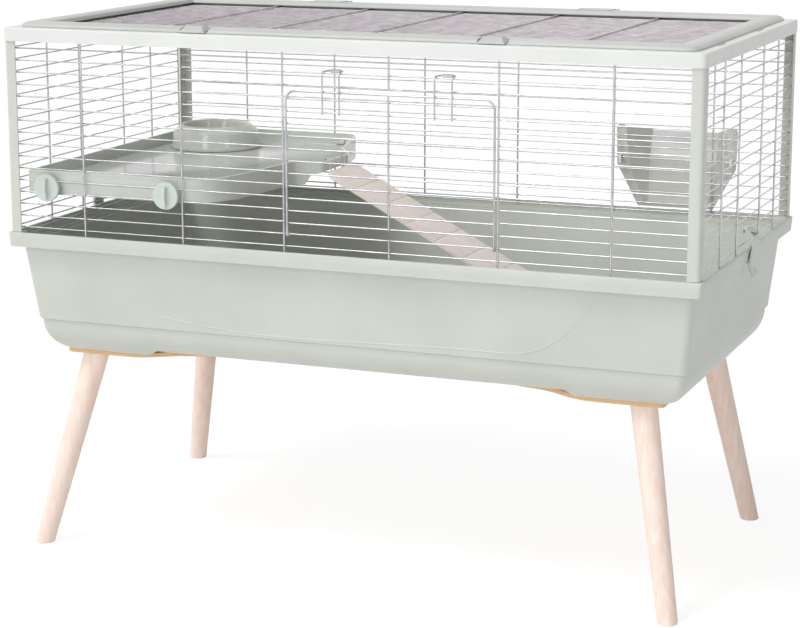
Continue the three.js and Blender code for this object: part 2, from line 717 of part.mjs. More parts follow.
function buildClip(side) {
  const z = CLIP_AXIS_Z;
  const x = SIDE_ROW_X;
  const outline = [
    [x - 3.1, z - 4.6],
    [x - 2.9, z + 1.2],
    [x - 1.2, z + 3.6],
    [x + 2.2, z + 4],
    [x + 8.6, z - 1],
    [x + 12.6, z - 7],
    [x + 14.5, z - 15],
    [x + 14.4, z - 24],
    [x + 12.3, z - 35],
    [x + 10.7, z - 43],
    [x + 10.5, z - 49],
    [x + 11.7, z - 55],
    [x + 14.9, z - 61.5],
    [x + 12.3, z - 62.3],
    [x + 9.3, z - 56.5],
    [x + 7.7, z - 52],
    [x + 6.7, z - 46.5],
    [x + 7.1, z - 42],
    [x + 8.8, z - 34],
    [x + 11.3, z - 23.5],
    [x + 11.1, z - 18],
    [x + 8.6, z - 11],
    [x + 5.6, z - 6.5],
    [x + 2.6, z - 3.5],
    [x + 1.35, z - 1.5],
    [x + 1.35, z + 0.6],
    [x + 0.6, z + 1.45],
    [x - 0.6, z + 1.45],
    [x - 1.35, z + 0.6],
    [x - 1.35, z - 4.6],
  ];
  const clip = standing(outline, -CLIP_HALF_Y, CLIP_HALF_Y);
  const gaps = [-8.4, 0, 8.4].map((y) => block(x - 8, x + 12.5, y - 1.5, y + 1.5, z - 9, z + 10));
  const body = cut(clip, gaps);
  return side < 0 ? mirrorX(body) : body;
}

// ------------------------------------------------------------- legs and boards

function boardScrewPlaces() {
  return [
    [-330, -120],
    [-330, 120],
    [330, -120],
    [330, 120],
  ];
}

function legAxis(corner) {
  const { topX, foot } = LEGS[corner];
  return { top: [topX, Math.sign(foot[1]) * LEG_TOP_Y, LEG_TOP_Z], foot: [...foot, 0] };
}

function buildBoard(side) {
  const outline = new THREE.Shape();
  const end = BOARD_END_X;
  const y = BOARD_HALF_Y;
  outline.moveTo(end, y - 8);
  outline.absarc(end - 8, y - 8, 8, 0, Math.PI / 2, false);
  outline.lineTo(350, y);
  outline.bezierCurveTo(300, y, 300, 164, 240, 156);
  outline.bezierCurveTo(190, 148, 158, 90, 158, 0);
  outline.bezierCurveTo(158, -90, 190, -148, 240, -156);
  outline.bezierCurveTo(300, -164, 300, -y, 350, -y);
  outline.lineTo(end - 8, -y);
  outline.absarc(end - 8, -y + 8, 8, -Math.PI / 2, 0, false);
  const blank = raised(outline, BOARD_BOTTOM_Z, BOARD_TOP_Z, 7);
  const board = (side < 0 ? mirrorX(blank) : blank).translate([BOARD_SHIFT_X, 0, 0]);
  const holes = [];
  for (const corner of Object.keys(LEGS)) {
    const [x, legY] = legAxis(corner).top;
    holes.push(bar([x, legY, BOARD_BOTTOM_Z - 5], [x, legY, BOARD_TOP_Z + 5], 3.4, 3.4, 10));
    holes.push(bar([x, legY, BOARD_TOP_Z - 2.9], [x, legY, BOARD_TOP_Z + 5], 7, 7, 10));
  }
  for (const [x, screwY] of boardScrewPlaces()) {
    holes.push(bar([x, screwY, BOARD_BOTTOM_Z - 5], [x, screwY, BOARD_TOP_Z + 5], 2.6, 2.6, 8));
  }
  return cut(board, holes);
}

function buildLeg(corner) {
  const { top, foot } = legAxis(corner);
  const a = new THREE.Vector3(...foot);
  const b = new THREE.Vector3(...top);
  const along = b.clone().sub(a).normalize();
  const low = a.clone().addScaledVector(along, -30).toArray();
  const high = b.clone().addScaledVector(along, 30).toArray();
  const grow = (LEG_TOP_R - LEG_FOOT_R) / b.distanceTo(a);
  const shaft = bar(low, high, LEG_FOOT_R - 30 * grow, LEG_TOP_R + 30 * grow, 20);
  const between = block(a.x - 90, a.x + 90, a.y - 90, a.y + 90, 0, BOARD_BOTTOM_Z - GAP);
  const screwHole = bar([top[0], top[1], 240], [top[0], top[1], 290], 3.3, 3.3, 10);
  return shaft.intersect(between).subtract(screwHole);
}

function buildLegScrew(corner) {
  const { top } = legAxis(corner);
  const [x, y] = top;
  const shank = bar([x, y, 246], [x, y, BOARD_TOP_Z - 1.5], 3, 3, 8);
  const head = bar([x, y, BOARD_TOP_Z - 2.6], [x, y, BOARD_TOP_Z - GAP], 6.5, 6.5, 10);
  return join([shank, head]);
}

function buildBoardScrew(x, y) {
  const shank = bar([x, y, BOARD_BOTTOM_Z - 1], [x, y, BOSS_TOP_Z - 2.5], 2.2, 2.2, 8);
  const head = bar([x, y, BOARD_BOTTOM_Z - 3], [x, y, BOARD_BOTTOM_Z - GAP], 3.4, 5.2, 10);
  return join([shank, head]);
}

// ----------------------------------------------------------------------- shelf

// The shelf's plan, drawn in by a wall's thickness for its hollows.
function shelfOutline(inset) {
  const left = SHELF_LEFT_X + inset;
  const front = SHELF_FRONT_Y + inset;
  const back = SHELF_BACK_Y - inset;
  const outline = new THREE.Shape();
  outline.moveTo(left, front);
  outline.lineTo(-236, front);
  outline.bezierCurveTo(-200 - inset, front, -174 - inset, -222 + inset, -170 - inset, -165);
  outline.lineTo(-157 - inset, -58 + inset * 0.6);
  outline.quadraticCurveTo(-152 - inset, -46 + inset, SHELF_LIP_X - 12 - inset, -44 + inset);
  outline.quadraticCurveTo(SHELF_LIP_X - inset, -43 + inset, SHELF_LIP_X - inset, -32);
  outline.lineTo(SHELF_LIP_X - inset, 44);
  outline.quadraticCurveTo(SHELF_LIP_X - 2 - inset, 62 - inset, -142 - inset, 96);
  outline.lineTo(-174 - inset, 216);
  outline.quadraticCurveTo(-180 - inset, back, -206, back);
  outline.lineTo(left, back);
  return outline;
}

function buildShelf() {
  const w = SHELF_WALL;
  const body = raised(shelfOutline(0), SHELF_BOTTOM_Z, SHELF_TOP_Z, 5);
  const above = raised(shelfOutline(w), SHELF_FLOOR_Z, SHELF_TOP_Z + 5, 5);
  const below = raised(shelfOutline(w), SHELF_BOTTOM_Z - 5, SHELF_FLOOR_Z - w, 5);
  const keyholes = KNOB_X.flatMap((x) => [
    bar([x, SHELF_FRONT_Y - 3, KNOB_Z], [x, SHELF_FRONT_Y + 6, KNOB_Z], 4.6, 4.6, 12),
    block(x, x + 10.5, SHELF_FRONT_Y - 3, SHELF_FRONT_Y + w + 1, KNOB_Z - 3.2, KNOB_Z + 3.2),
  ]);
  const tongues = [-430, -320].map((x) => block(x - 10, x + 10, SHELF_BACK_Y - 1.5, 266, rowZ(3) + 1.6, rowZ(3) + 5.2));
  const rising = [
    [SHELF_LIP_X - 22, SHELF_FLOOR_Z - 5],
    [SHELF_LIP_X - 10, SHELF_FLOOR_Z - 1],
    [SHELF_LIP_X + 1, SHELF_FLOOR_Z + 3.5],
  ]; // the underside of the neck rises towards the lip
  const underNeck = [
    [SHELF_LIP_X - 30, SHELF_BOTTOM_Z - 5],
    [SHELF_LIP_X - 30, SHELF_BOTTOM_Z],
    ...rising,
    [SHELF_LIP_X + 1, SHELF_BOTTOM_Z - 5],
  ];
  const neckFloor = [
    [SHELF_LIP_X - 38, SHELF_FLOOR_Z],
    [SHELF_LIP_X - 38, SHELF_FLOOR_Z - w + 0.5],
    ...rising,
    [SHELF_LIP_X + 1, SHELF_FLOOR_Z + 7.5],
  ];
  const neck = standing(neckFloor, -60, 120).intersect(raised(shelfOutline(0.6), SHELF_BOTTOM_Z, SHELF_TOP_Z, 5));
  const recess = block(-412, -270, SHELF_FRONT_Y - 1, SHELF_FRONT_Y + 0.8, SHELF_BOTTOM_Z - 1, 531.5);
  const ledge = block(SHELF_LEFT_X + 1, -194, SHELF_BACK_Y - 12, SHELF_BACK_Y - 1, SHELF_FLOOR_Z - 1, 540.5);
  const stop = block(-214, -200, SHELF_BACK_Y - 14.5, SHELF_BACK_Y - 11, 532.5, 540);
  const shell = cut(body, [above, below, recess, ...keyholes, standing(underNeck, -60, 120)]);
  return join([shell, neck, ledge, stop, ...tongues]);
}

function buildKnob(x) {
  const disc = bar([x, -269.4, KNOB_Z], [x, -264.2, KNOB_Z], KNOB_R, KNOB_R, 28);
  const grip = new THREE.Shape();
  const half = 13;
  grip.moveTo(x - 3.6, KNOB_Z - half);
  grip.quadraticCurveTo(x - 0.6, KNOB_Z, x - 3.6, KNOB_Z + half);
  grip.quadraticCurveTo(x, KNOB_Z + half + 2.4, x + 3.6, KNOB_Z + half);
  grip.quadraticCurveTo(x + 0.6, KNOB_Z, x + 3.6, KNOB_Z - half);
  grip.quadraticCurveTo(x, KNOB_Z - half - 2.4, x - 3.6, KNOB_Z - half);
  const rib = new THREE.ExtrudeGeometry(grip, { depth: 7, bevelEnabled: false, curveSegments: 5 });
  rib.rotateX(Math.PI / 2);
  rib.translate(0, -269.0, 0);
  const shaft = bar([x, -265, KNOB_Z], [x, SHELF_FRONT_Y + SHELF_WALL, KNOB_Z], 4.1, 4.1, 12);
  const neck = bar([x, -258, KNOB_Z], [x, SHELF_FRONT_Y + 7.6, KNOB_Z], 2.9, 2.9, 12);
  const cam = block(x - 2.9, x + 2.9, SHELF_FRONT_Y + SHELF_WALL + GAP, SHELF_FRONT_Y + 7.6, KNOB_Z - 9.6, KNOB_Z);
  return join([disc, solid(rib), shaft, neck, cam]);
}

function buildBowl() {
  const r = BOWL_R;
  const h = BOWL_HEIGHT;
  return turned(
    [
      [0, 0],
      [r - 1.5, 0],
      [r, 1.5],
      [r - 0.3, 4.5],
      [r - 4.3, h - 11.5],
      [r - 6, h - 8.6],
      [r - 15.5, h - 0.6],
      [r - 17, h],
      [r - 18.6, h - 1.2],
      [r - 19.4, h - 5],
      [r - 23, 9],
      [r - 29, 5.5],
      [0, 5.5],
    ],
    32,
    BOWL_X,
    BOWL_Y,
    SHELF_FLOOR_Z + GAP,
  );
}

// ------------------------------------------------------------------------ ramp

// Ramp pieces are drawn lying flat with the hooked end at the origin, +X down the
// slope and the walking face at Z = 0, and hung on the shelf by this placing.
function onSlope(made) {
  const degrees = THREE.MathUtils.radToDeg(RAMP_SLOPE);
  return made.rotate([0, degrees, 0]).translate([RAMP_END_X, RAMP_Y, RAMP_END_Z]);
}

function buildRamp() {
  const t = RAMP_THICK;
  const foot = RAMP_LENGTH;
  const outline = [[0, 0]];
  for (let i = 1; i <= RAMP_GROOVES; i += 1) {
    const x = RAMP_GROOVE_PITCH * i;
    outline.push([x - 1.6, 0], [x, -1.3], [x + 1.6, 0]);
  }
  outline.push([foot, 0], [foot - t / Math.tan(RAMP_SLOPE), -t], [0, -t]); // level foot
  const half = RAMP_WIDTH / 2;
  const plan = new THREE.Shape();
  plan.moveTo(foot + 5, half);
  plan.lineTo(RAMP_CORNER_R, half);
  plan.absarc(RAMP_CORNER_R, half - RAMP_CORNER_R, RAMP_CORNER_R, Math.PI / 2, Math.PI, false);
  plan.absarc(RAMP_CORNER_R, RAMP_CORNER_R - half, RAMP_CORNER_R, Math.PI, 1.5 * Math.PI, false);
  plan.lineTo(foot + 5, -half);
  const plank = standing(outline, -half, half).intersect(raised(plan, -t - 1, 1, 5));
  const holes = RAMP_HOOK_Y.map((y) => bar([-4, y - RAMP_Y, -t / 2], [16, y - RAMP_Y, -t / 2], 1.6, 1.6, 8));
  return onSlope(cut(plank, holes));
}

function buildRampHook(y) {
  const lip = SHELF_LIP_X - SHELF_WALL / 2;
  const top = SHELF_TOP_Z + 2.2;
  const slope = [Math.cos(RAMP_SLOPE), -Math.sin(RAMP_SLOPE)];
  const mouth = [RAMP_END_X - (RAMP_THICK / 2) * Math.sin(RAMP_SLOPE), RAMP_END_Z - (RAMP_THICK / 2) * Math.cos(RAMP_SLOPE)];
  const arch = arcPoints([lip, top - 3.2], 4.6, 180, 0, 6, (x, z) => [x, y, z]);
  const route = [
    [lip - 4.6, y, top - 5.4],
    ...arch,
    [lip + 4.6, y, mouth[1] + 5],
    [lip + 5.2, y, mouth[1] + 2.6],
    [mouth[0] - 1.6 * slope[0], y, mouth[1] - 1.6 * slope[1]],
    [mouth[0] + 13 * slope[0], y, mouth[1] + 13 * slope[1]],
  ];
  return bentWire(route, 1.1, 6);
}

// -------------------------------------------------------------------- hay rack

// Half widths and depth of the rack's pocket at three heights.
const RACK_SECTIONS = [
  { z: 463.5, front: 52, back: 47, depth: 15 },
  { z: 522, front: 77, back: 53, depth: 40 },
  { z: 580, front: 83, back: 56, depth: 61 },
];

function rackPocket(wall, frontY) {
  return loft(
    RACK_SECTIONS.map(({ z, front, back, depth }, i) => {
      const height = i === 0 ? z + wall : z + (wall ? 5 : 0);
      return [
        [-front + wall, frontY],
        [front - wall, frontY],
        [back - wall, RACK_FRONT_Y + depth - wall],
        [-back + wall, RACK_FRONT_Y + depth - wall],
      ].map(([x, y]) => new THREE.Vector3(RACK_X + x, y, i === 1 ? z : height));
    }),
  );
}

function buildRack() {
  const flange = [
    [-57, 461],
    [57, 461],
    [90, 522],
    [91.5, 577],
    [88, 583],
    [82, 583],
    [78, 578],
    [-78, 578],
    [-82, 583],
    [-88, 583],
    [-91.5, 577],
    [-90, 522],
  ].map(([x, z]) => [RACK_X + x, z]);
  const plate = standing(flange, RACK_FRONT_Y, RACK_FRONT_Y + RACK_WALL);
  const shell = join([plate, rackPocket(0, RACK_FRONT_Y + 0.5)]);
  const window = block(RACK_X - 51, RACK_X + 51, RACK_FRONT_Y + 38, RACK_FRONT_Y + 90, WINDOW_Z[0], 600);
  const slope = lengthwise(
    [
      [RACK_FRONT_Y + RACK_WALL, 579],
      [RACK_FRONT_Y + 70, RACK_BACK_TOP_Z],
      [RACK_FRONT_Y + 70, 600],
      [RACK_FRONT_Y + RACK_WALL, 600],
    ],
    RACK_X - 100,
    RACK_X + 100,
  );
  return cut(shell, [rackPocket(RACK_WALL, RACK_FRONT_Y - 5), window, slope]);
}

function buildRackWindow() {
  const slope = (61 - 40) / (580 - 522);
  const depthAt = (z) => RACK_FRONT_Y + 40 + (z - 522) * slope;
  const z0 = WINDOW_Z[0] + GAP;
  const z1 = WINDOW_Z[1];
  const outline = [
    [depthAt(z0) - 1.9, z0],
    [depthAt(z1) - 1.9, z1],
    [depthAt(z1) - 0.4, z1],
    [depthAt(z0) - 0.4, z0],
  ];
  const pane = lengthwise(outline, RACK_X - 51 + GAP, RACK_X + 51 - GAP);
  const grip = new THREE.CylinderGeometry(1, 1, 4, 20);
  grip.scale(33, 1, 9);
  grip.translate(RACK_X + 14, depthAt(WINDOW_GRIP_Z) - 2.6, WINDOW_GRIP_Z);
  return join([pane, solid(grip)]);
}

function buildRackHook(side) {
  const x = RACK_X + side * 84;
  const row = rowZ(4);
  const outline = [
    [RACK_FRONT_Y - GAP, row - 5],
    [RACK_FRONT_Y - GAP, row + 4.2],
    [255.4, row + 4.2],
    [255.4, row - 7.4],
    [257.8, row - 7.4],
    [257.8, row + 1.5],
    [LONG_UPRIGHT_Y + 0.4, row + 1.5],
    [LONG_UPRIGHT_Y + 0.4, row - 5],
  ];
  return lengthwise(outline, x - 1.8, x + 1.8);
}

// -------------------------------------------------------------------- assembly

const cage = new THREE.Group();

function place(name, made, material) {
  const mesh = new THREE.Mesh(geometryOf(made), material);
  mesh.name = name;
  cage.add(mesh);
}

const ENDS = [
  ["left", -1],
  ["right", 1],
];
const CORNERS = [
  ["front_left", -1, -1],
  ["front_right", 1, -1],
  ["back_left", -1, 1],
  ["back_right", 1, 1],
];

place("tray", buildTray(), SAGE);
for (const [word, side] of ENDS) place(`leg_board_${word}`, buildBoard(side), PLY);
for (const [word, sideX, sideY] of CORNERS) {
  place(`leg_${word}`, buildLeg(word), BEECH);
  place(`leg_screw_${word}`, buildLegScrew(word), STEEL);
  place(`post_${word}`, buildPost(sideX, sideY), SAGE);
}
boardScrewPlaces().forEach(([x, y], i) => place(`board_screw_${i + 1}`, buildBoardScrew(x, y), STEEL));

place("wire_panel_front", buildLongPanel(-1, true), WIRE);
place("wire_panel_back", buildLongPanel(1, false), WIRE);
for (const [word, side] of ENDS) {
  place(`wire_panel_${word}`, buildSidePanel(side), WIRE);
  place(`tray_clip_${word}`, buildClip(side), SAGE);
}
place("top_frame", buildTopFrame(), SAGE);

place("lid_frame", buildLidFrame(), PALE);
place("lid_grid", buildLidGrid(), WIRE);
ENDS.forEach(([word], i) => {
  place(`lid_hinge_${word}`, buildHingeStrap(HINGE_X[i]), PALE);
  place(`lid_hinge_pin_${word}`, hingeBar(HINGE_X[i], HINGE_HALF + 4, HINGE_PIN_R), STEEL);
  place(`lid_tab_${word}`, buildLidTab(TAB_X[i]), PALE);
});

place("door", buildDoor(), WIRE);
ENDS.forEach(([word], i) => {
  place(`door_latch_${word}`, buildLatch(LATCH_X[i]), WIRE);
  place(`door_latch_grip_${word}`, buildLatchGrip(LATCH_X[i]), PALE);
});

place("shelf", buildShelf(), GLOSS);
ENDS.forEach(([word], i) => place(`shelf_knob_${word}`, buildKnob(KNOB_X[i]), PALE));
place("bowl", buildBowl(), GLOSS);
place("ramp", buildRamp(), BEECH);
RAMP_HOOK_Y.forEach((y, i) => place(`ramp_hook_${["front", "back"][i]}`, buildRampHook(y), WIRE));

place("hay_rack", buildRack(), RACK);
place("hay_rack_window", buildRackWindow(), FROSTED);
for (const [word, side] of ENDS) place(`hay_rack_hook_${word}`, buildRackHook(side), FROSTED);

export default cage;
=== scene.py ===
"""A small-animal cage on four splayed wooden legs, dressed for rendering.

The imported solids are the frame. Every piece here is drawn in millimetres in the
frame of those solids (+Z up, +Y to the back, origin on the floor under the middle
of the tray) and turned to metres when its object is made.
"""

import logging
import math
from collections.abc import Iterable, Sequence
from dataclasses import dataclass, field
from enum import Enum

import bmesh
import bpy
from mathutils import Euler, Matrix, Vector


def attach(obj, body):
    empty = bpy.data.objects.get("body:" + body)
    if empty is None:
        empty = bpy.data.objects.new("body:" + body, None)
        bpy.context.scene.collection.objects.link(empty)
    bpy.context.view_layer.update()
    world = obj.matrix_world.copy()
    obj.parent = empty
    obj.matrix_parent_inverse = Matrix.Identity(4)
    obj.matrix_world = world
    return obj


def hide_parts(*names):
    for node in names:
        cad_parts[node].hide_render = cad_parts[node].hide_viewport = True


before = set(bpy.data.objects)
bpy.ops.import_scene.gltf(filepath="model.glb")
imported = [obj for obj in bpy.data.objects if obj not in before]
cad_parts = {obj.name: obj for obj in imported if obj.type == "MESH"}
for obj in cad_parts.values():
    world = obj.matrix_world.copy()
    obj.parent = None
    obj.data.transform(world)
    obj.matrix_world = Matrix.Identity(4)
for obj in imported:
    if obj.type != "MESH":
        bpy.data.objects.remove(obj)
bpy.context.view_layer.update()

MM = 0.001
# Vertices of a solid nearer than this, in millimetres, are one vertex.
MERGE_MM = 0.002
# Neighbouring faces of a solid that meet at less than this, in degrees, are one face.
FLAT_DEG = 0.6
# Faces that meet at less than this, in degrees, shade smoothly and keep a plain edge.
SMOOTH_DEG = 35.0
# How many chords a rounded corner of a ring has.
CORNER_STEPS = 8
# The lowest row of the wire panels that shows, and the distance from row to row.
LOWEST_ROW = 466.4
ROW_PITCH = 16.65
log = logging.getLogger("cage")

Point = Sequence[float]
Ring = list[bmesh.types.BMEdge]


class End(Enum):
    """The two ends of the cage, with the sign of their X."""

    LEFT = -1
    RIGHT = 1

    @property
    def word(self) -> str:
        """The end's word in piece names."""
        return self.name.lower()


class Corner(Enum):
    """The four corners of the cage, with the signs of their X and Y."""

    FRONT_LEFT = (-1, -1)
    FRONT_RIGHT = (1, -1)
    BACK_LEFT = (-1, 1)
    BACK_RIGHT = (1, 1)

    @property
    def word(self) -> str:
        """The corner's word in piece names."""
        return self.name.lower()


# -------- outlines


def arc(centre: Point, radius: float, start: float, stop: float, steps: int) -> list[tuple[float, float]]:
    """Points along an arc in a plane.

    Args:
        centre: The arc's middle.
        radius: Its radius.
        start: The first angle in degrees.
        stop: The last angle in degrees.
        steps: How many chords it is drawn with.

    Returns:
        The points, ends included.
    """
    angles = [math.radians(start + (stop - start) * i / steps) for i in range(steps + 1)]
    return [(centre[0] + radius * math.cos(a), centre[1] + radius * math.sin(a)) for a in angles]


def bezier(points: Sequence[Point], steps: int) -> list[tuple[float, ...]]:
    """Points along a Bezier curve, its start left out.

    Args:
        points: The control points, three or four of them.
        steps: How many chords it is drawn with.

    Returns:
        The points after the first.
    """
    made = []
    for i in range(1, steps + 1):
        level = [Vector(p) for p in points]
        while len(level) > 1:
            level = [a.lerp(b, i / steps) for a, b in zip(level, level[1:])]
        made.append(tuple(level[0]))
    return made


# -------- meshes


class Shape:
    """A mesh being built with bmesh operators, in millimetres."""

    def __init__(self) -> None:
        """Start an empty mesh."""
        self.bm = bmesh.new()

    @classmethod
    def of_node(cls, name: str, flatten: bool = True) -> "Shape":
        """Start from a carried-over solid, with its triangles joined.

        Args:
            name: The solid's name.
            flatten: Whether triangles in one plane become one face.

        Returns:
            The shape.
        """
        made = cls()
        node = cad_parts[name]
        made.bm.from_mesh(node.data)
        to_mm = Matrix.Scale(1 / MM, 4) @ node.matrix_world
        bmesh.ops.transform(made.bm, matrix=to_mm, verts=made.bm.verts[:])
        bmesh.ops.remove_doubles(made.bm, verts=made.bm.verts[:], dist=MERGE_MM)
        if flatten:
            bmesh.ops.dissolve_limit(made.bm, angle_limit=math.radians(FLAT_DEG),
                                     verts=made.bm.verts[:], edges=made.bm.edges[:])
        made.face_out()
        return made

    def block(self, low: Point, high: Point, bevel: float = 0.0) -> None:
        """Add a box, with rounded edges if a bevel is given.

        Args:
            low: Its lowest corner.
            high: Its highest corner.
            bevel: The width of the rounding.
        """
        low, high = Vector(low), Vector(high)
        size = high - low
        matrix = Matrix.Translation((low + high) / 2) @ Matrix.Diagonal((*size, 1.0))
        made = bmesh.ops.create_cube(self.bm, size=1.0, matrix=matrix)["verts"]
        if bevel:
            edges = list(dict.fromkeys(e for v in made for e in v.link_edges))
            bmesh.ops.bevel(self.bm, geom=edges, offset=bevel, segments=2, profile=0.5, affect="EDGES",
                            material=-1)

    def rod(self, start: Point, stop: Point, radius: float, end_radius: float | None = None,
            sides: int = 12, rounding: float = 0.0) -> None:
        """Add a round bar or cone between two points.

        Args:
            start: The middle of its first end.
            stop: The middle of its last end.
            radius: The radius at the start.
            end_radius: The radius at the end, or the same.
            sides: How many sides it is drawn with.
            rounding: The width of the rounding round both ends.
        """
        a, b = Vector(start), Vector(stop)
        along = b - a
        turn = along.to_track_quat("Z", "Y").to_matrix().to_4x4()
        made = bmesh.ops.create_cone(
            self.bm, cap_ends=True, segments=sides, radius1=radius,
            radius2=radius if end_radius is None else end_radius,
            depth=along.length, matrix=Matrix.Translation((a + b) / 2) @ turn)["verts"]
        if rounding:
            caps = dict.fromkeys(f for v in made for f in v.link_faces if len(f.verts) > 4)
            rims = list(dict.fromkeys(e for f in caps for e in f.edges))
            bmesh.ops.bevel(self.bm, geom=rims, offset=rounding, segments=3, profile=0.5, affect="EDGES",
                            material=-1)

    def wire(self, route: Sequence[Point], radius: float, sides: int = 10) -> None:
        """Add a round wire along a route, carried from point to point by extruding its end.

        Args:
            route: The points of its middle line.
            radius: The wire's radius.
            sides: How many sides it is drawn with.
        """
        points = [Vector(p) for p in route]
        tangents = [(points[min(i + 1, len(points) - 1)] - points[max(i - 1, 0)]).normalized()
                    for i in range(len(points))]
        place = Matrix.Translation(points[0]) @ tangents[0].to_track_quat("Z", "Y").to_matrix().to_4x4()
        ring = bmesh.ops.create_circle(self.bm, cap_ends=True, segments=sides, radius=radius, matrix=place)
        verts = ring["verts"]
        first = verts[0].link_faces[0]
        edges = list(first.edges)
        for i in range(1, len(points)):
            out = bmesh.ops.extrude_edge_only(self.bm, edges=edges)["geom"]
            verts = [g for g in out if isinstance(g, bmesh.types.BMVert)]
            edges = [g for g in out if isinstance(g, bmesh.types.BMEdge)
                     and g.verts[0] in verts and g.verts[1] in verts]
            turn = tangents[i - 1].rotation_difference(tangents[i]).to_matrix().to_4x4()
            move = Matrix.Translation(points[i]) @ turn @ Matrix.Translation(-points[i - 1])
            bmesh.ops.transform(self.bm, matrix=move, verts=verts)
        bmesh.ops.contextual_create(self.bm, geom=edges)
        self.face_out()

    def ring(self, half: Point, radius: float, z: float) -> Ring:
        """Add a rounded rectangle lying flat, by rounding the corners of a square.

        Args:
            half: Half its length and width.
            radius: Its corner radius.
            z: Its height.

        Returns:
            The edges of the ring.
        """
        matrix = Matrix.Translation((0, 0, z)) @ Matrix.Diagonal((half[0], half[1], 1, 1))
        verts = bmesh.ops.create_grid(self.bm, x_segments=1, y_segments=1, size=1.0, matrix=matrix)["verts"]
        out = bmesh.ops.bevel(self.bm, geom=verts, offset=radius, segments=CORNER_STEPS, profile=0.5,
                              affect="VERTICES", material=-1)
        face = out["verts"][0].link_faces[0]
        edges = list(face.edges)
        bmesh.ops.delete(self.bm, geom=[face], context="FACES_ONLY")
        return edges

    def loft(self, rings: Sequence[Ring]) -> None:
        """Bridge rings of equal vertex counts and cap both ends of the stack.

        Args:
            rings: The rings in order.
        """
        for a, b in zip(rings, rings[1:]):
            bmesh.ops.bridge_loops(self.bm, edges=[*a, *b])
        for edges in (rings[0], rings[-1]):
            bmesh.ops.contextual_create(self.bm, geom=edges)
        self.face_out()

    def slab(self, outline: Sequence[Point], start: float, stop: float) -> None:
        """Extrude a flat outline from one height to another.

        Args:
            outline: Its points in order.
            start: The first height.
            stop: The last height.
        """
        face = self.bm.faces.new([self.bm.verts.new((*p, start)) for p in outline])
        out = bmesh.ops.extrude_face_region(self.bm, geom=[face], use_keep_orig=True)["geom"]
        moved = [g for g in out if isinstance(g, bmesh.types.BMVert)]
        bmesh.ops.translate(self.bm, verts=moved, vec=(0, 0, stop - start))
        self.face_out()

    def turned(self, profile: Sequence[Point], centre: Point, steps: int) -> None:
        """Spin a profile of [radius, height] about a standing axis.

        Args:
            profile: The profile's points, both ends on the axis.
            centre: The foot of the axis.
            steps: How many steps the full turn has.
        """
        c = Vector(centre)
        verts = [self.bm.verts.new(c + Vector((r, 0, h))) for r, h in profile]
        edges = [self.bm.edges.new(pair) for pair in zip(verts, verts[1:])]
        bmesh.ops.spin(self.bm, geom=[*verts, *edges], cent=c, axis=(0, 0, 1), angle=2 * math.pi,
                       steps=steps, use_merge=True, use_duplicate=False)
        bmesh.ops.remove_doubles(self.bm, verts=self.bm.verts[:], dist=0.01)
        self.face_out()

    def face_out(self) -> None:
        """Point every face outwards."""
        bmesh.ops.recalc_face_normals(self.bm, faces=self.bm.faces[:])

    def transform(self, matrix: Matrix) -> None:
        """Move, turn or mirror everything drawn so far.

        Args:
            matrix: The move, in millimetres.
        """
        bmesh.ops.transform(self.bm, matrix=matrix, verts=self.bm.verts[:])
        if matrix.to_3x3().determinant() < 0:
            bmesh.ops.reverse_faces(self.bm, faces=self.bm.faces[:])

    def cut(self, point: Point, normal: Point, clear: bool = False) -> None:
        """Cut along a plane.

        Args:
            point: A point on the plane.
            normal: The plane's normal.
            clear: Whether what lies beyond the plane is taken off and the hole closed.
        """
        geom = self.bm.verts[:] + self.bm.edges[:] + self.bm.faces[:]
        out = bmesh.ops.bisect_plane(self.bm, geom=geom, dist=1e-4, plane_co=Vector(point),
                                     plane_no=Vector(normal), clear_outer=clear)["geom_cut"]
        if clear:
            edges = [g for g in out if isinstance(g, bmesh.types.BMEdge)]
            bmesh.ops.contextual_create(self.bm, geom=edges)

    def mesh(self, name: str) -> bpy.types.Mesh:
        """Finish the shape as a mesh in metres.

        Args:
            name: The mesh's name.

        Returns:
            The mesh.
        """
        bmesh.ops.scale(self.bm, vec=(MM, MM, MM), verts=self.bm.verts[:])
        mesh = bpy.data.meshes.new(name)
        self.bm.to_mesh(mesh)
        self.bm.free()
        return mesh


# -------- materials


def linear(code: str) -> tuple[float, float, float, float]:
    """Turn an sRGB hex value to linear colour.

    Args:
        code: Six hex digits after a hash.

    Returns:
        Red, green, blue and alpha.
    """
    parts = [int(code[i:i + 2], 16) / 255 for i in (1, 3, 5)]
    return (*[c / 12.92 if c <= 0.04045 else ((c + 0.055) / 1.055) ** 2.4 for c in parts], 1.0)


def add(tree: bpy.types.NodeTree, kind: str, settings: dict | None = None, links: dict | None = None
        ) -> bpy.types.Node:
    """Add a shader node with its settings and its incoming links.

    Args:
        tree: The node tree.
        kind: The node's type name without its prefix.
        settings: Attributes, or input sockets by name or number, and their values.
        links: Input sockets by name or number and the output sockets that feed them.

    Returns:
        The node.
    """
    node = tree.nodes.new("ShaderNode" + kind)
    for key, value in (settings or {}).items():
        if isinstance(key, int) or key in node.inputs.keys():
            node.inputs[key].default_value = value
        else:
            setattr(node, key, value)
    for key, source in (links or {}).items():
        tree.links.new(source, node.inputs[key])
    return node


def ramp(tree: bpy.types.NodeTree, source: bpy.types.NodeSocket, stops: Sequence[tuple[float, str]]
         ) -> bpy.types.NodeSocket:
    """Add a colour ramp.

    Args:
        tree: The node tree.
        source: The value that drives it.
        stops: Its places and their sRGB hex colours.

    Returns:
        The colour.
    """
    node = add(tree, "ValToRGB", links={"Fac": source})
    elements = node.color_ramp.elements
    while len(elements) < len(stops):
        elements.new(0.5)
    for element, (place, code) in zip(elements, stops):
        element.position = place
        element.color = linear(code)
    return node.outputs["Color"]


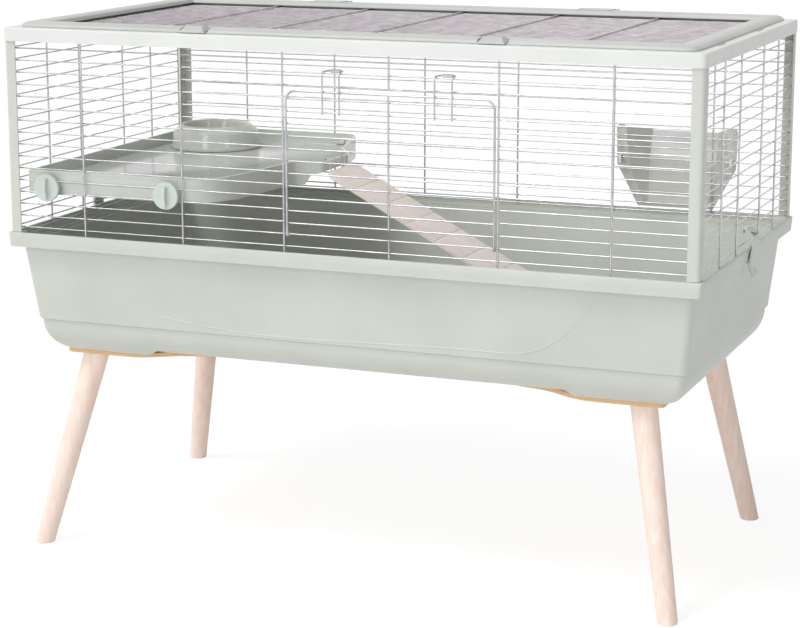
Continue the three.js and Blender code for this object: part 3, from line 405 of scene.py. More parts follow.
@dataclass(frozen=True)
class Finish:
    """What every finish has: a name, and a Principled shader on Object coordinates."""

    name: str

    def build(self) -> bpy.types.Material:
        """Make the material, or fetch it if it is made.

        Returns:
            The material.
        """
        if self.name in bpy.data.materials:
            return bpy.data.materials[self.name]
        material = bpy.data.materials.new(self.name)
        material.use_nodes = True
        tree = material.node_tree
        tree.nodes.clear()
        shader = add(tree, "BsdfPrincipled")
        add(tree, "OutputMaterial", links={"Surface": shader.outputs["BSDF"]})
        place = add(tree, "TexCoord").outputs["Object"]
        self.dress(tree, shader, place)
        return material

    def dress(self, tree: bpy.types.NodeTree, shader: bpy.types.Node, place: bpy.types.NodeSocket) -> None:
        """Add the finish's own nodes."""
        raise NotImplementedError


@dataclass(frozen=True)
class MouldedPlastic(Finish):
    """Injection-moulded polypropylene: an even satin skin with a fine spark-eroded grain.

    It gives the eye a soft broad highlight, a faint cloudiness in its colour and edges
    that catch the light.
    """

    low: str
    high: str
    roughness: float
    grain_mm: float = 1.4
    grain_depth: float = 0.04

    def dress(self, tree: bpy.types.NodeTree, shader: bpy.types.Node, place: bpy.types.NodeSocket) -> None:
        """Add cloudy colour, uneven gloss and the mould's grain.

        Args:
            tree: The node tree.
            shader: The Principled node.
            place: Object coordinates in metres.
        """
        cloud = add(tree, "TexNoise", {"Scale": 1 / (90 * MM), "Detail": 3.0}, {"Vector": place})
        tree.links.new(ramp(tree, cloud.outputs["Fac"], [(0.3, self.low), (0.7, self.high)]),
                       shader.inputs["Base Color"])
        gloss = add(tree, "TexNoise", {"Scale": 1 / (14 * MM), "Detail": 4.0}, {"Vector": place})
        spread = add(tree, "MapRange", {"To Min": self.roughness - 0.04, "To Max": self.roughness + 0.06},
                     {"Value": gloss.outputs["Fac"]})
        tree.links.new(spread.outputs["Result"], shader.inputs["Roughness"])
        # The real grain is under 0.3 mm; it is drawn coarser, so that it shows at all.
        grain = add(tree, "TexNoise", {"Scale": 1 / (self.grain_mm * MM), "Detail": 2.0}, {"Vector": place})
        bump = add(tree, "Bump", {"Strength": self.grain_depth, "Distance": 0.4 * MM},
                   {"Height": grain.outputs["Fac"]})
        tree.links.new(bump.outputs["Normal"], shader.inputs["Normal"])


@dataclass(frozen=True)
class AntiSlipPlastic(MouldedPlastic):
    """The shelf's polished plastic, with a field of moulded pimples on its level floor.

    The pimples are only dark dots of colour, painted shade standing in for their bumps and broken reflection;
    they give the eye a speckled floor between shiny walls.
    """

    floor_mm: float = 533.0
    pimple_mm: float = 6.5
    # The colour of the pimples' painted shade.
    pimple_shade: str = "#7f857d"

    def dress(self, tree: bpy.types.NodeTree, shader: bpy.types.Node, place: bpy.types.NodeSocket) -> None:
        """Add the plastic, then the pimples' painted shade, dark dots on faces that look up below a height.

        Args:
            tree: The node tree.
            shader: The Principled node.
            place: Object coordinates in metres.
        """
        super().dress(tree, shader, place)
        plain = shader.inputs["Base Color"].links[0].from_socket
        # Each pimple is a dark dot of colour: painted shade for its bump, which has no geometry or bump of
        # its own.
        dots = add(tree, "TexVoronoi", {"Scale": 1 / (self.pimple_mm * MM), "Randomness": 0.25},
                   {"Vector": place})
        dot = add(tree, "MapRange", {"From Min": 0.2, "From Max": 0.42, "To Min": 1.0, "To Max": 0.0},
                  {"Value": dots.outputs["Distance"]})
        height = add(tree, "SeparateXYZ", links={"Vector": place}).outputs["Z"]
        low = add(tree, "Math", {"operation": "LESS_THAN", 1: self.floor_mm * MM}, {0: height})
        normal = add(tree, "NewGeometry").outputs["True Normal"]
        facing = add(tree, "SeparateXYZ", links={"Vector": normal}).outputs["Z"]
        up = add(tree, "Math", {"operation": "GREATER_THAN", 1: 0.9}, {0: facing})
        level = add(tree, "Math", {"operation": "MULTIPLY"}, {0: low.outputs[0], 1: up.outputs[0]})
        mask = add(tree, "Math", {"operation": "MULTIPLY"}, {0: level.outputs[0], 1: dot.outputs["Result"]})
        colour = add(tree, "Mix", {"data_type": "RGBA", 7: linear(self.pimple_shade)},
                     {0: mask.outputs[0], 6: plain})
        tree.links.new(colour.outputs[2], shader.inputs["Base Color"])


@dataclass(frozen=True)
class PlatedWire(Finish):
    """Zinc-plated steel wire: bright, drawn metal with fine lengthwise draw marks.

    It gives the eye a thin white highlight with grey on its shaded side.
    """

    low: str = "#b2b1b5"
    high: str = "#cfced0"
    roughness: float = 0.32

    def dress(self, tree: bpy.types.NodeTree, shader: bpy.types.Node, place: bpy.types.NodeSocket) -> None:
        """Add plating that varies along the wire.

        Args:
            tree: The node tree.
            shader: The Principled node.
            place: Object coordinates in metres.
        """
        shader.inputs["Metallic"].default_value = 1.0
        patches = add(tree, "TexNoise", {"Scale": 1 / (18 * MM), "Detail": 4.0}, {"Vector": place})
        tree.links.new(ramp(tree, patches.outputs["Fac"], [(0.3, self.low), (0.7, self.high)]),
                       shader.inputs["Base Color"])
        fine = add(tree, "TexNoise", {"Scale": 1 / (1.2 * MM), "Detail": 3.0}, {"Vector": place})
        spread = add(tree, "MapRange", {"To Min": self.roughness - 0.08, "To Max": self.roughness + 0.1},
                     {"Value": fine.outputs["Fac"]})
        tree.links.new(spread.outputs["Result"], shader.inputs["Roughness"])


@dataclass(frozen=True)
class TurnedBeech(Finish):
    """Solid beech, sanded and left with a thin clear coat: pale pink, with short dark flecks.

    It gives the eye a nearly matt surface with fine lines along the grain.
    """

    pale: str = "#fdeadf"
    deep: str = "#f6dccf"
    fleck: str = "#dfbcab"
    stretch: tuple[float, float, float] = (1.0, 1.0, 0.06)
    turn: tuple[float, float, float] = (0.0, 0.0, 0.0)

    def dress(self, tree: bpy.types.NodeTree, shader: bpy.types.Node, place: bpy.types.NodeSocket) -> None:
        """Add growth lines, flecks and pores, all drawn out along the grain.

        Args:
            tree: The node tree.
            shader: The Principled node.
            place: Object coordinates in metres.
        """
        turned = add(tree, "Mapping", {"Rotation": self.turn}, {"Vector": place}).outputs["Vector"]
        along = add(tree, "Mapping", {"Scale": self.stretch}, {"Vector": turned}).outputs["Vector"]
        lines = add(tree, "TexNoise", {"Scale": 1 / (7 * MM), "Detail": 5.0, "Distortion": 0.4},
                    {"Vector": along})
        ground = ramp(tree, lines.outputs["Fac"], [(0.36, self.pale), (0.66, self.deep)])
        specks = add(tree, "TexNoise", {"Scale": 1 / (1.3 * MM), "Detail": 1.0}, {"Vector": along})
        amount = add(tree, "MapRange", {"From Min": 0.62, "From Max": 0.8, "To Max": 0.4},
                     {"Value": specks.outputs["Fac"]})
        colour = add(tree, "Mix", {"data_type": "RGBA", 7: linear(self.fleck)},
                     {0: amount.outputs["Result"], 6: ground})
        tree.links.new(colour.outputs[2], shader.inputs["Base Color"])
        shader.inputs["Roughness"].default_value = 0.55
        bump = add(tree, "Bump", {"Strength": 0.12, "Distance": 0.3 * MM},
                   {"Height": specks.outputs["Fac"]})
        tree.links.new(bump.outputs["Normal"], shader.inputs["Normal"])


@dataclass(frozen=True)
class BirchPly(Finish):
    """Sanded birch plywood: matt veneer faces, and edges where the plies show.

    It gives the eye a warm pale plank with fine stripes along its edge.
    """

    veneer: tuple[str, str] = ("#f3d9b6", "#e8c498")
    plies: tuple[str, str] = ("#e3b98a", "#f5d3a4")
    two_plies_mm: float = 2.4

    def dress(self, tree: bpy.types.NodeTree, shader: bpy.types.Node, place: bpy.types.NodeSocket) -> None:
        """Add the veneer's figure and the plies on standing faces.

        Args:
            tree: The node tree.
            shader: The Principled node.
            place: Object coordinates in metres.
        """
        along = add(tree, "Mapping", {"Scale": (0.08, 1.0, 1.0)}, {"Vector": place}).outputs["Vector"]
        figure = add(tree, "TexNoise", {"Scale": 1 / (9 * MM), "Detail": 4.0}, {"Vector": along})
        veneer = ramp(tree, figure.outputs["Fac"], [(0.35, self.veneer[0]), (0.65, self.veneer[1])])
        height = add(tree, "SeparateXYZ", links={"Vector": place}).outputs["Z"]
        # Five plies in six millimetres.
        turns = add(tree, "Math", {"operation": "MULTIPLY", 1: 2 * math.pi / (self.two_plies_mm * MM)},
                    {0: height})
        wave = add(tree, "Math", {"operation": "SINE"}, {0: turns.outputs[0]})
        plies = ramp(tree, wave.outputs[0], [(0.35, self.plies[0]), (0.6, self.plies[1])])
        normal = add(tree, "NewGeometry").outputs["Normal"]
        up = add(tree, "SeparateXYZ", links={"Vector": normal}).outputs["Z"]
        flat = add(tree, "Math", {"operation": "ABSOLUTE"}, {0: up})
        colour = add(tree, "Mix", {"data_type": "RGBA"}, {0: flat.outputs[0], 6: plies, 7: veneer})
        tree.links.new(colour.outputs[2], shader.inputs["Base Color"])
        shader.inputs["Roughness"].default_value = 0.6


# Satin plastics, from greyish green through nearly white to a cooler green for the knobs.
SAGE = MouldedPlastic("moulded_polypropylene_sage", "#c8ccc4", "#cfd3ca", 0.42)
PALE = MouldedPlastic("moulded_polypropylene_pale", "#dddfdc", "#e4e6e3", 0.4)
LID = MouldedPlastic("moulded_polypropylene_grey", "#bfc1bd", "#c7c8c5", 0.38)
MINT = MouldedPlastic("moulded_polypropylene_mint", "#c5cdc8", "#ccd4cf", 0.35)
# Polished plastics, which mirror the wires and the light, and a matt white one.
GLOSS = MouldedPlastic("polished_polypropylene_sage", "#cfd3cb", "#d6dad2", 0.12, grain_depth=0.01)
SHELF = AntiSlipPlastic("polished_polypropylene_with_pimples", "#ccd0c9", "#d3d7d0", 0.12, grain_depth=0.01)
RACK = MouldedPlastic("moulded_polypropylene_deep_sage", "#cbcec6", "#d3d6ce", 0.22, grain_depth=0.015)
FROSTED = MouldedPlastic("frosted_polypropylene_white", "#eceeec", "#f4f5f3", 0.5)
# Bright wire for the walls. The roof's grid and cross wires are the same zinc drawn darker: painted shade for
# the roof, whose underside is seen.
WIRE = PlatedWire("zinc_plated_steel_wire")
SHADED_ROOF_WIRE = PlatedWire("zinc_plated_roof_wire_painted_shade", "#8f8a8e", "#aaa5a8")
SHADED_CROSS_WIRE = PlatedWire("zinc_plated_cross_wire_painted_shade", "#a19ca0", "#c4c0c3")
SCREW = PlatedWire("zinc_plated_screw_steel", "#9a9ca0", "#b4b6ba", 0.38)
LEG_WOOD = TurnedBeech("turned_beech")
# The ramp's beech is drawn lighter than the legs' beech: painted light, making up for the shade of the lid
# and wires it stands in.
LIT_RAMP_WOOD = TurnedBeech("sawn_beech_painted_light", "#fff6f0", "#fdeee5", "#e6cdc0", stretch=(0.05, 1.0, 1.0),
                        turn=(0.0, math.radians(-27.76), 0.0))
PLY = BirchPly("sanded_birch_plywood")


# -------- pieces


def placed(name: str, data: bpy.types.ID) -> bpy.types.Object:
    """Make an object of some data and link it to the scene.

    Args:
        name: The object's name.
        data: Its mesh, lamp or camera.

    Returns:
        The object.
    """
    made = bpy.data.objects.new(name, data)
    bpy.context.scene.collection.objects.link(made)
    return made


def piece(shape: Shape, name: str, body: str, finish: Finish, stands_for: Iterable[str] = (),
          soften: float = 0.0) -> bpy.types.Object:
    """Make an object of a shape, dress it and set it in the frame.

    Args:
        shape: The finished shape.
        name: The piece's name.
        body: The body it rides on.
        finish: Its finish.
        stands_for: The solids it replaces.
        soften: The width of the rounding on its sharp edges, in millimetres.

    Returns:
        The object.
    """
    mesh = shape.mesh(name)
    mesh.shade_smooth()
    mesh.set_sharp_from_angle(angle=math.radians(SMOOTH_DEG))
    made = placed(name, mesh)
    mesh.materials.append(finish.build())
    if soften:
        bevel = made.modifiers.new("softened_edges", "BEVEL")
        bevel.width = soften * MM
        bevel.segments = 2
        bevel.limit_method = "ANGLE"
        bevel.angle_limit = math.radians(SMOOTH_DEG)
        bevel.harden_normals = False
    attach(made, body)
    names = list(stands_for)
    if names:
        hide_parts(*names)
    log.info("%s on %s for %s", name, body, ", ".join(names) or "no solid")
    return made


def dress_node(name: str, finish: Finish) -> None:
    """Give a carried-over solid its finish.

    Args:
        name: The solid's name.
        finish: Its finish.
    """
    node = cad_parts[name]
    node.data.materials.clear()
    node.data.materials.append(finish.build())


def merged(name: str, body: str, finish: Finish, slot: str, soften: float, flatten: bool = True
           ) -> bpy.types.Object:
    """Make a softened copy of a solid in its place.

    Args:
        name: The solid's name.
        body: The body it rides on.
        finish: Its finish.
        slot: The record's material slot.
        soften: The width of the rounding on its sharp edges, in millimetres.
        flatten: Whether triangles in one plane become one face.

    Returns:
        The object.
    """
    made = "moulded" if "plastic" in slot else "sanded"
    return piece(Shape.of_node(name, flatten), f"{made}_{name}", body, finish, [name], soften)


def row_height(i: float) -> float:
    """The height of a row of the wire panels, counted from the lowest."""
    return LOWEST_ROW + i * ROW_PITCH


@dataclass
class Tray:
    """The deep moulded tray with its stepped rim and lowered ends."""

    rim_half: tuple[float, float] = (498.5, 269.5)
    body_half: tuple[float, float] = (484.8, 256.0)
    seam_half: tuple[float, float] = (474.6, 237.2)
    rim_top: float = 459.0
    rim_height: float = 20.5
    body_top: float = 443.0
    seam: float = 331.0
    ledge: tuple[float, float] = (3.3, 2.6)
    bottom_inset: float = 36.0
    middle_bottom: float = 289.0
    pad_bottom: float = 281.8
    pad_from: tuple[float, float] = (302.0, 316.0)
    wall: float = 3.0
    corners: tuple[float, float] = (12.0, 20.0)
    lower_steps: int = 12
    seat_x: tuple[float, float] = (477.0, 496.0)
    seat_y: tuple[float, float] = (249.0, 267.0)
    seat_bottom: float = 439.5
    boss_at: tuple[float, float] = (330.0, 120.0)
    boss_heights: tuple[float, float] = (284.0, 291.5)
    boss_radii: tuple[float, float] = (7.0, 6.0)
    line_radius: float = 1.4
    line_sunk: float = 0.9

    def lower_rings(self, shape: Shape, wall: float) -> list[Ring]:
        """The rings of the rounded lower part, from the bottom up, at the depth of the ends.

        Args:
            shape: The shape being built.
            wall: How far the rings are drawn in.

        Returns:
            The rings.
        """
        rings = []
        top = self.seam - self.ledge[1]
        height = top - self.pad_bottom - wall
        for i in range(self.lower_steps + 1):
            angle = math.radians(90 - 90 / self.lower_steps * i)
            drawn = 1 - math.cos(angle)
            inset = self.ledge[0] + self.bottom_inset * drawn + wall
            corner = self.corners[0] + (self.corners[1] - self.corners[0]) * drawn - wall * 0.6
            half = (self.seam_half[0] - inset, self.seam_half[1] - inset)
            rings.append(shape.ring(half, corner, top - height * math.sin(angle)))
        return rings

    def profile(self, shape: Shape) -> list[Ring]:
        """Every ring of the tray, out over the rim and down inside.

        Args:
            shape: The shape being built.

        Returns:
            The rings from the outside bottom to the inside bottom.
        """
        lean = (self.rim_top - self.rim_height - self.seam) / (self.body_top - self.seam)
        wall_half = tuple(s + (b - s) * lean for s, b in zip(self.seam_half, self.body_half))

        def rim(inset: float, z: float, corner: float = 6.0) -> Ring:
            """A ring set in from the rim's outer face."""
            return shape.ring((self.rim_half[0] - inset, self.rim_half[1] - inset), corner, z)

        top, under = self.rim_top, self.rim_top - self.rim_height
        outside = [*self.lower_rings(shape, 0.0), shape.ring(self.seam_half, 12.0, self.seam),
                   shape.ring(wall_half, 12.0, under)]
        # No two neighbours are quite level, so that they bridge without a twist.
        over = [rim(1.6, under + 0.1), rim(0.9, under + 9), rim(0.0, top - 2.2), rim(0.5, top - 0.8),
                rim(1.8, top), rim(3.8, top - 0.1), rim(4.3, top - 0.6), rim(4.4, top - 8.5),
                rim(9.3, top - 8.7), rim(9.4, top - 13), rim(13.0, top - 13.2), rim(13.1, top - 17.4)]
        inner = [tuple(h - self.wall for h in half) for half in (self.body_half, self.seam_half)]
        inside = [shape.ring(inner[0], 10.2, top - 17.6), shape.ring(inner[1], 10.2, self.seam)]
        return [*outside, *over, *inside, *reversed(self.lower_rings(shape, self.wall))]

    def raise_middle(self, shape: Shape) -> None:
        """Lift the underside between the two lowered ends.

        Args:
            shape: The lofted tray.
        """
        for x in self.pad_from:
            for side in (-1, 1):
                shape.cut((side * x, 0, 0), (1, 0, 0))
        top = self.seam - self.ledge[1]
        full = top - self.pad_bottom
        share = (top - self.middle_bottom) / full
        for vert in shape.bm.verts:
            if vert.co.z < top:
                reach = (abs(vert.co.x) - self.pad_from[0]) / (self.pad_from[1] - self.pad_from[0])
                keep = share + (1 - share) * min(max(reach, 0.0), 1.0)
                vert.co.z = top - (top - vert.co.z) * keep

    def build(self) -> None:
        """Make the tray with its corner seats and screw bosses."""
        shape = Shape()
        shape.loft(self.profile(shape))
        self.raise_middle(shape)
        for corner in Corner:
            sx, sy = corner.value
            xs = sorted(sx * x for x in self.seat_x)
            ys = sorted(sy * y for y in self.seat_y)
            shape.block((xs[0], ys[0], self.seat_bottom), (xs[1], ys[1], self.rim_top), 0.6)
        for x in (-self.boss_at[0], self.boss_at[0]):
            for y in (-self.boss_at[1], self.boss_at[1]):
                foot, head = ((x, y, z) for z in self.boss_heights)
                shape.rod(foot, head, *self.boss_radii, sides=24, rounding=1.0)
        self.moulded_line(shape)
        piece(shape, "tray_shell", "base", SAGE, ["tray"])

    def moulded_line(self, shape: Shape) -> None:
        """Lay the raised line that sweeps across the front wall.

        Args:
            shape: The shape being built.
        """
        sweep = [(-273, 350), *bezier([(-273, 350), (-120, 320), (60, 345), (235, 340)], 24),
                 *bezier([(235, 340), (290, 345), (322, 375), (354, 424)], 16)]
        lean = (self.body_half[1] - self.seam_half[1]) / (self.body_top - self.seam)
        shape.wire([(x, self.line_sunk - self.seam_half[1] - (z - self.seam) * lean, z) for x, z in sweep],
                   self.line_radius)


@dataclass
class LegStand:
    """The two leg boards, the splayed legs and their screws."""

    board_bottom: float = 275.5
    feet: dict[Corner, tuple[float, float]] = field(default_factory=lambda: {
        Corner.FRONT_LEFT: (-471, -243), Corner.FRONT_RIGHT: (459, -243),
        Corner.BACK_LEFT: (-466, 240), Corner.BACK_RIGHT: (455, 243)})
    heads: dict[Corner, float] = field(default_factory=lambda: {
        Corner.FRONT_LEFT: -411, Corner.FRONT_RIGHT: 403,
        Corner.BACK_LEFT: -409, Corner.BACK_RIGHT: 403})
    head_y: float = 180.0
    head_radius: float = 18.0
    foot_radius: float = 13.5
    foot_rounding: float = 2.4
    clearance: float = 0.3
    spare: float = 30.0

    def leg(self, corner: Corner) -> None:
        """Make one leg, a cone cut level at floor and board.

        Args:
            corner: The corner it stands at.
        """
        shape = Shape()
        foot = Vector((*self.feet[corner], 0))
        head = Vector((self.heads[corner], corner.value[1] * self.head_y, self.board_bottom - self.clearance))
        along = (head - foot).normalized()
        grow = (self.head_radius - self.foot_radius) / (head - foot).length
        shape.rod(foot - along * self.spare, head + along * self.spare, self.foot_radius - self.spare * grow,
                  self.head_radius + self.spare * grow, sides=40)
        shape.cut(head, (0, 0, 1), clear=True)
        shape.cut((0, 0, 0), (0, 0, -1), clear=True)
        rims = [e for e in shape.bm.edges if max(v.co.z for v in e.verts) < 1e-3]
        bmesh.ops.bevel(shape.bm, geom=rims, offset=self.foot_rounding, segments=4, profile=0.5,
                        affect="EDGES", material=-1)
        shape.face_out()
        piece(shape, f"turned_leg_{corner.word}", "base", LEG_WOOD, [f"leg_{corner.word}"])

    def build(self) -> None:
        """Make the legs and dress the boards and screws."""
        for corner in Corner:
            self.leg(corner)
            dress_node(f"leg_screw_{corner.word}", SCREW)
        for end in End:
            dress_node(f"leg_board_{end.word}", PLY)
        for i in range(1, 5):
            dress_node(f"board_screw_{i}", SCREW)


@dataclass
class WireBox:
    """The four wire panels."""

    row_radius: float = 0.95
    upright_radius: float = 1.35
    long_upright_y: float = 262.0
    long_row_y: float = 260.22
    side_upright_x: float = 492.5
    side_row_x: float = 490.895
    long_uprights: tuple[float, ...] = (-377.5, -226.5, -75.5, 75.5, 226.5, 377.5)
    side_uprights: tuple[float, ...] = (-156.0, -65.5, 65.5, 156.0)
    foot: float = 453.3
    head: float = 735.0
    foot_row: float = 454.5
    rows: int = 16
    long_reach: tuple[float, float] = (475.0, 486.0)
    side_reach: tuple[float, float] = (245.0, 256.0)
    door_upright: float = 75.5
    doorway: tuple[float, float] = (-74.9, 225.9)
    doorway_rows: tuple[int, int] = (1, 13)

    def heights(self) -> list[float]:
        """The heights of all rows, the one behind the rim first."""
        return [self.foot_row, *(row_height(i) for i in range(self.rows))]

    def long_panel(self, side: int, has_door: bool) -> Shape:
        """Draw the front or back panel.

        Args:
            side: The sign of its Y.
            has_door: Whether it leaves the doorway open.

        Returns:
            The panel.
        """
        shape = Shape()
        y, row_y = side * self.long_upright_y, side * self.long_row_y
        low, high = row_height(self.doorway_rows[0]) + 1, row_height(self.doorway_rows[1]) - 1
        for x in self.long_uprights:
            cut = has_door and x == self.door_upright
            spans = [(self.foot, low), (high, self.head)] if cut else [(self.foot, self.head)]
            for start, stop in spans:
                shape.rod((x, y, start), (x, y, stop), self.upright_radius)
        for z in self.heights():
            half = self.long_reach[z != self.foot_row]
            cut = has_door and low < z < high
            spans = [(-half, self.doorway[0]), (self.doorway[1], half)] if cut else [(-half, half)]
            for start, stop in spans:
                shape.rod((start, row_y, z), (stop, row_y, z), self.row_radius)
        return shape

    def side_panel(self, side: int) -> Shape:
        """Draw one end panel.

        Args:
            side: The sign of its X.

        Returns:
            The panel.
        """
        shape = Shape()
        x, row_x = side * self.side_upright_x, side * self.side_row_x
        for y in self.side_uprights:
            shape.rod((x, y, self.foot), (x, y, self.head), self.upright_radius)
        for z in self.heights():
            half = self.side_reach[z != self.foot_row]
            shape.rod((row_x, -half, z), (row_x, half, z), self.row_radius)
        return shape

    def build(self) -> None:
        """Make the four panels."""
        drawn = {"front": self.long_panel(-1, True), "back": self.long_panel(1, False),
                 "left": self.side_panel(-1), "right": self.side_panel(1)}
        for word, shape in drawn.items():
            piece(shape, f"welded_panel_{word}", "enclosure", WIRE, [f"wire_panel_{word}"])


@dataclass
class Frames:
    """The corner posts and the moulded top frame."""

    outer: tuple[float, float] = (494.5, 266.5)
    width: float = 17.0
    rounding: float = 6.0
    wall: float = 2.0
    foot: float = 459.3
    head: float = 725.7
    ribs: int = 20
    rib_pitch: float = 13.0
    rib_height: float = 1.2

    def post(self, corner: Corner) -> None:
        """Make one post, an open angle with a rounded outer corner.

        Args:
            corner: The corner it stands at.
        """
        x1, y1 = self.outer
        r, w = self.rounding, self.wall
        x0, y0 = x1 - self.width, y1 - self.width
        outline = [(x0, y1), *arc((x1 - r, y1 - r), r, 90, 0, 8), (x1, y0), (x1 - w + 0.6, y0),
                   *arc((x1 - r + 0.6, y1 - r), r - w, 0, 90, 8), (x0, y1 - w)]
        shape = Shape()
        shape.slab(outline, self.foot, self.head)
        for i in range(self.ribs):
            z = self.foot + 8 + self.rib_pitch * i
            shape.block((x1 - 8, y1 - 10, z), (x1 - w, y1 - w, z + self.rib_height))
        shape.transform(Matrix.Diagonal((*corner.value, 1, 1)))
        piece(shape, f"angle_post_{corner.word}", "enclosure", SAGE, [f"post_{corner.word}"],
              soften=0.4)

    def build(self) -> None:
        """Make the posts and dress the top frame."""
        for corner in Corner:
            self.post(corner)
        merged("top_frame", "enclosure", PALE, "pale_plastic", 1.2)


@dataclass
class Roof:
    """The lid with its frame, wire grid, hinges and snap tabs."""

    cross_x: tuple[float, ...] = (-302.0, -151.0, 0.0, 151.0, 302.0)
    cross_z: float = 743.0
    cross_radius: float = 1.5
    wire_radius: float = 0.9
    wires: int = 27
    pitch: float = 16.6
    weld: float = 0.4
    cross_reach: float = 231.0
    wire_reach: float = 447.2

    def build(self) -> None:
        """Make the grid and dress the moulded pieces."""
        # The cross wires and the grid wear the darker zinc, painted shade for the roof's underside.
        cross = Shape()
        for x in self.cross_x:
            cross.rod((x, -self.cross_reach, self.cross_z), (x, self.cross_reach, self.cross_z),
                      self.cross_radius)
        piece(cross, "lid_cross_wires", "lid", SHADED_CROSS_WIRE)
        shape = Shape()
        z = self.cross_z - self.cross_radius - self.wire_radius + self.weld
        for i in range(self.wires):
            y = (i - (self.wires - 1) / 2) * self.pitch
            shape.rod((-self.wire_reach, y, z), (self.wire_reach, y, z), self.wire_radius)
        piece(shape, "welded_lid_grid", "lid", SHADED_ROOF_WIRE, ["lid_grid"])
        merged("lid_frame", "lid", LID, "sage_plastic", 1.2)
        for end in End:
            merged(f"lid_hinge_{end.word}", "lid", LID, "sage_plastic", 0.6)
            dress_node(f"lid_hinge_pin_{end.word}", SCREW)
            merged(f"lid_tab_{end.word}", f"lid_tab_{end.word}", LID, "sage_plastic", 1.0)


@dataclass
class Door:
    """The fold-down door and its two latches."""

    left: float = -70.5
    right: float = 221.5
    top: float = 675.0
    corner: float = 14.0
    radius: float = 1.5
    plane_y: float = -262.92
    axis: tuple[float, float] = (-260.22, 483.05)
    latch_x: tuple[float, float] = (-4.5, 152.5)
    latch_foot: float = 645.5
    loop_radius: float = 2.7
    row_radius: float = 1.05
    middle_radius: float = 1.3
    latch_radius: float = 1.1

    def loop(self, x: float) -> list[tuple[float, float, float]]:
        """The loop round the hinge row at one side.

        Args:
            x: The side's place.

        Returns:
            Its points, from the door's plane round the row.
        """
        return [(x, y, z) for y, z in arc(self.axis, self.loop_radius, 180, 400, 18)]

    def build(self) -> None:
        """Make the door and the latches."""
        shape = Shape()
        left = [(x, self.plane_y, z) for x, z in
                arc((self.left + self.corner, self.top - self.corner), self.corner, 180, 90, 8)]
        right = [(x, self.plane_y, z) for x, z in
                 arc((self.right - self.corner, self.top - self.corner), self.corner, 90, 0, 8)]
        shape.wire([*reversed(self.loop(self.left)), *left, *right, *self.loop(self.right)], self.radius, 12)
        row_y = self.plane_y + self.radius + 0.65
        for i in range(2, 13):
            z = row_height(i) - 1.7
            shape.rod((self.left - 0.8, row_y, z), (self.right + 0.8, row_y, z), self.row_radius)
        middle = (self.left + self.right) / 2
        shape.rod((middle, self.plane_y, row_height(2) - 2.7), (middle, self.plane_y, self.top),
                  self.middle_radius)
        piece(shape, "wire_door", "door", WIRE, ["door"])
        for end, x in zip(End, self.latch_x):
            self.latch(end, x)

    def latch(self, end: End, x: float) -> None:
        """Make one bent latch and its sleeve.

        Args:
            end: Which of the two it is.
            x: Its middle.
        """
        over = row_height(14) + 2.35
        inside, out, half = -248.72, -266.0, 12.0

        def side(sign: int) -> list[tuple[float, float, float]]:
            """One leg, its bend over the row and its inner end."""
            edge = x + sign * half
            return [(edge, out, self.latch_foot), (edge, out, over - 4.5), (edge, out + 0.5, over - 2.4),
                    (edge, out + 1.8, over - 0.8), (edge, out + 4, over),
                    (x + sign * (half - 0.5), inside - 4, over), (x + sign * (half - 1), inside - 2, over),
                    (x + sign * (half - 2.4), inside - 0.5, over), (x + sign * (half - 4.5), inside, over)]

        shape = Shape()
        shape.wire([*side(-1), *reversed(side(1))], self.latch_radius)
        body = f"door_latch_{end.word}"
        piece(shape, f"bent_latch_{end.word}", body, WIRE, [f"door_latch_{end.word}"])
        dress_node(f"door_latch_grip_{end.word}", PALE)


@dataclass
class Inside:
    """The shelf with its knobs, the bowl and the ramp."""

    bowl_at: tuple[float, float, float] = (-378.0, 150.0, 531.3)
    bowl_radius: float = 69.0
    bowl_height: float = 36.0

    def build(self) -> None:
        """Dress the pieces that stand inside."""
        merged("shelf", "enclosure", SHELF, "gloss_plastic", 0.8)
        for end in End:
            merged(f"shelf_knob_{end.word}", f"shelf_knob_{end.word}", MINT, "pale_plastic", 0.8)
        self.bowl()
        # The ramp wears the lighter beech, painted light for the shade it stands in.
        merged("ramp", "ramp", LIT_RAMP_WOOD, "beech", 0.6)
        for word in ("front", "back"):
            dress_node(f"ramp_hook_{word}", WIRE)

    def bowl(self) -> None:
        """Make the heavy turned bowl with its rolled rim."""
        r, h = self.bowl_radius, self.bowl_height
        shoulder = bezier([(r - 4.1, h - 12), (r - 4.8, h - 9), (r - 7, h - 7.7)], 6)
        lip = bezier([(r - 14.8, h - 1), (r - 16.4, h + 0.5), (r - 19.6, h - 0.6), (r - 19.6, h - 6)], 10)
        floor = bezier([(r - 22.5, 12), (r - 24, 5.6), (r - 32, 5.5)], 8)
        profile = [(0, 0), (r - 1.4, 0), (r - 0.3, 0.5), (r, 1.6), (r - 0.1, 3.9), (r - 0.9, 4.6),
                   (r - 4.1, h - 12), *shoulder, (r - 14.8, h - 1), *lip, (r - 22.5, 12), *floor, (0, 5.5)]
        shape = Shape()
        shape.turned(profile, self.bowl_at, 72)
        piece(shape, "turned_bowl", "bowl", GLOSS, ["bowl"])


@dataclass
class Fittings:
    """The hay rack and the two clips on the rim."""

    def build(self) -> None:
        """Dress the rack and the clips."""
        merged("hay_rack", "hay_rack", RACK, "rack_plastic", 0.6, flatten=False)
        dress_node("hay_rack_window", FROSTED)
        for end in End:
            dress_node(f"hay_rack_hook_{end.word}", FROSTED)
            merged(f"tray_clip_{end.word}", f"tray_clip_{end.word}", SAGE, "sage_plastic", 0.5)


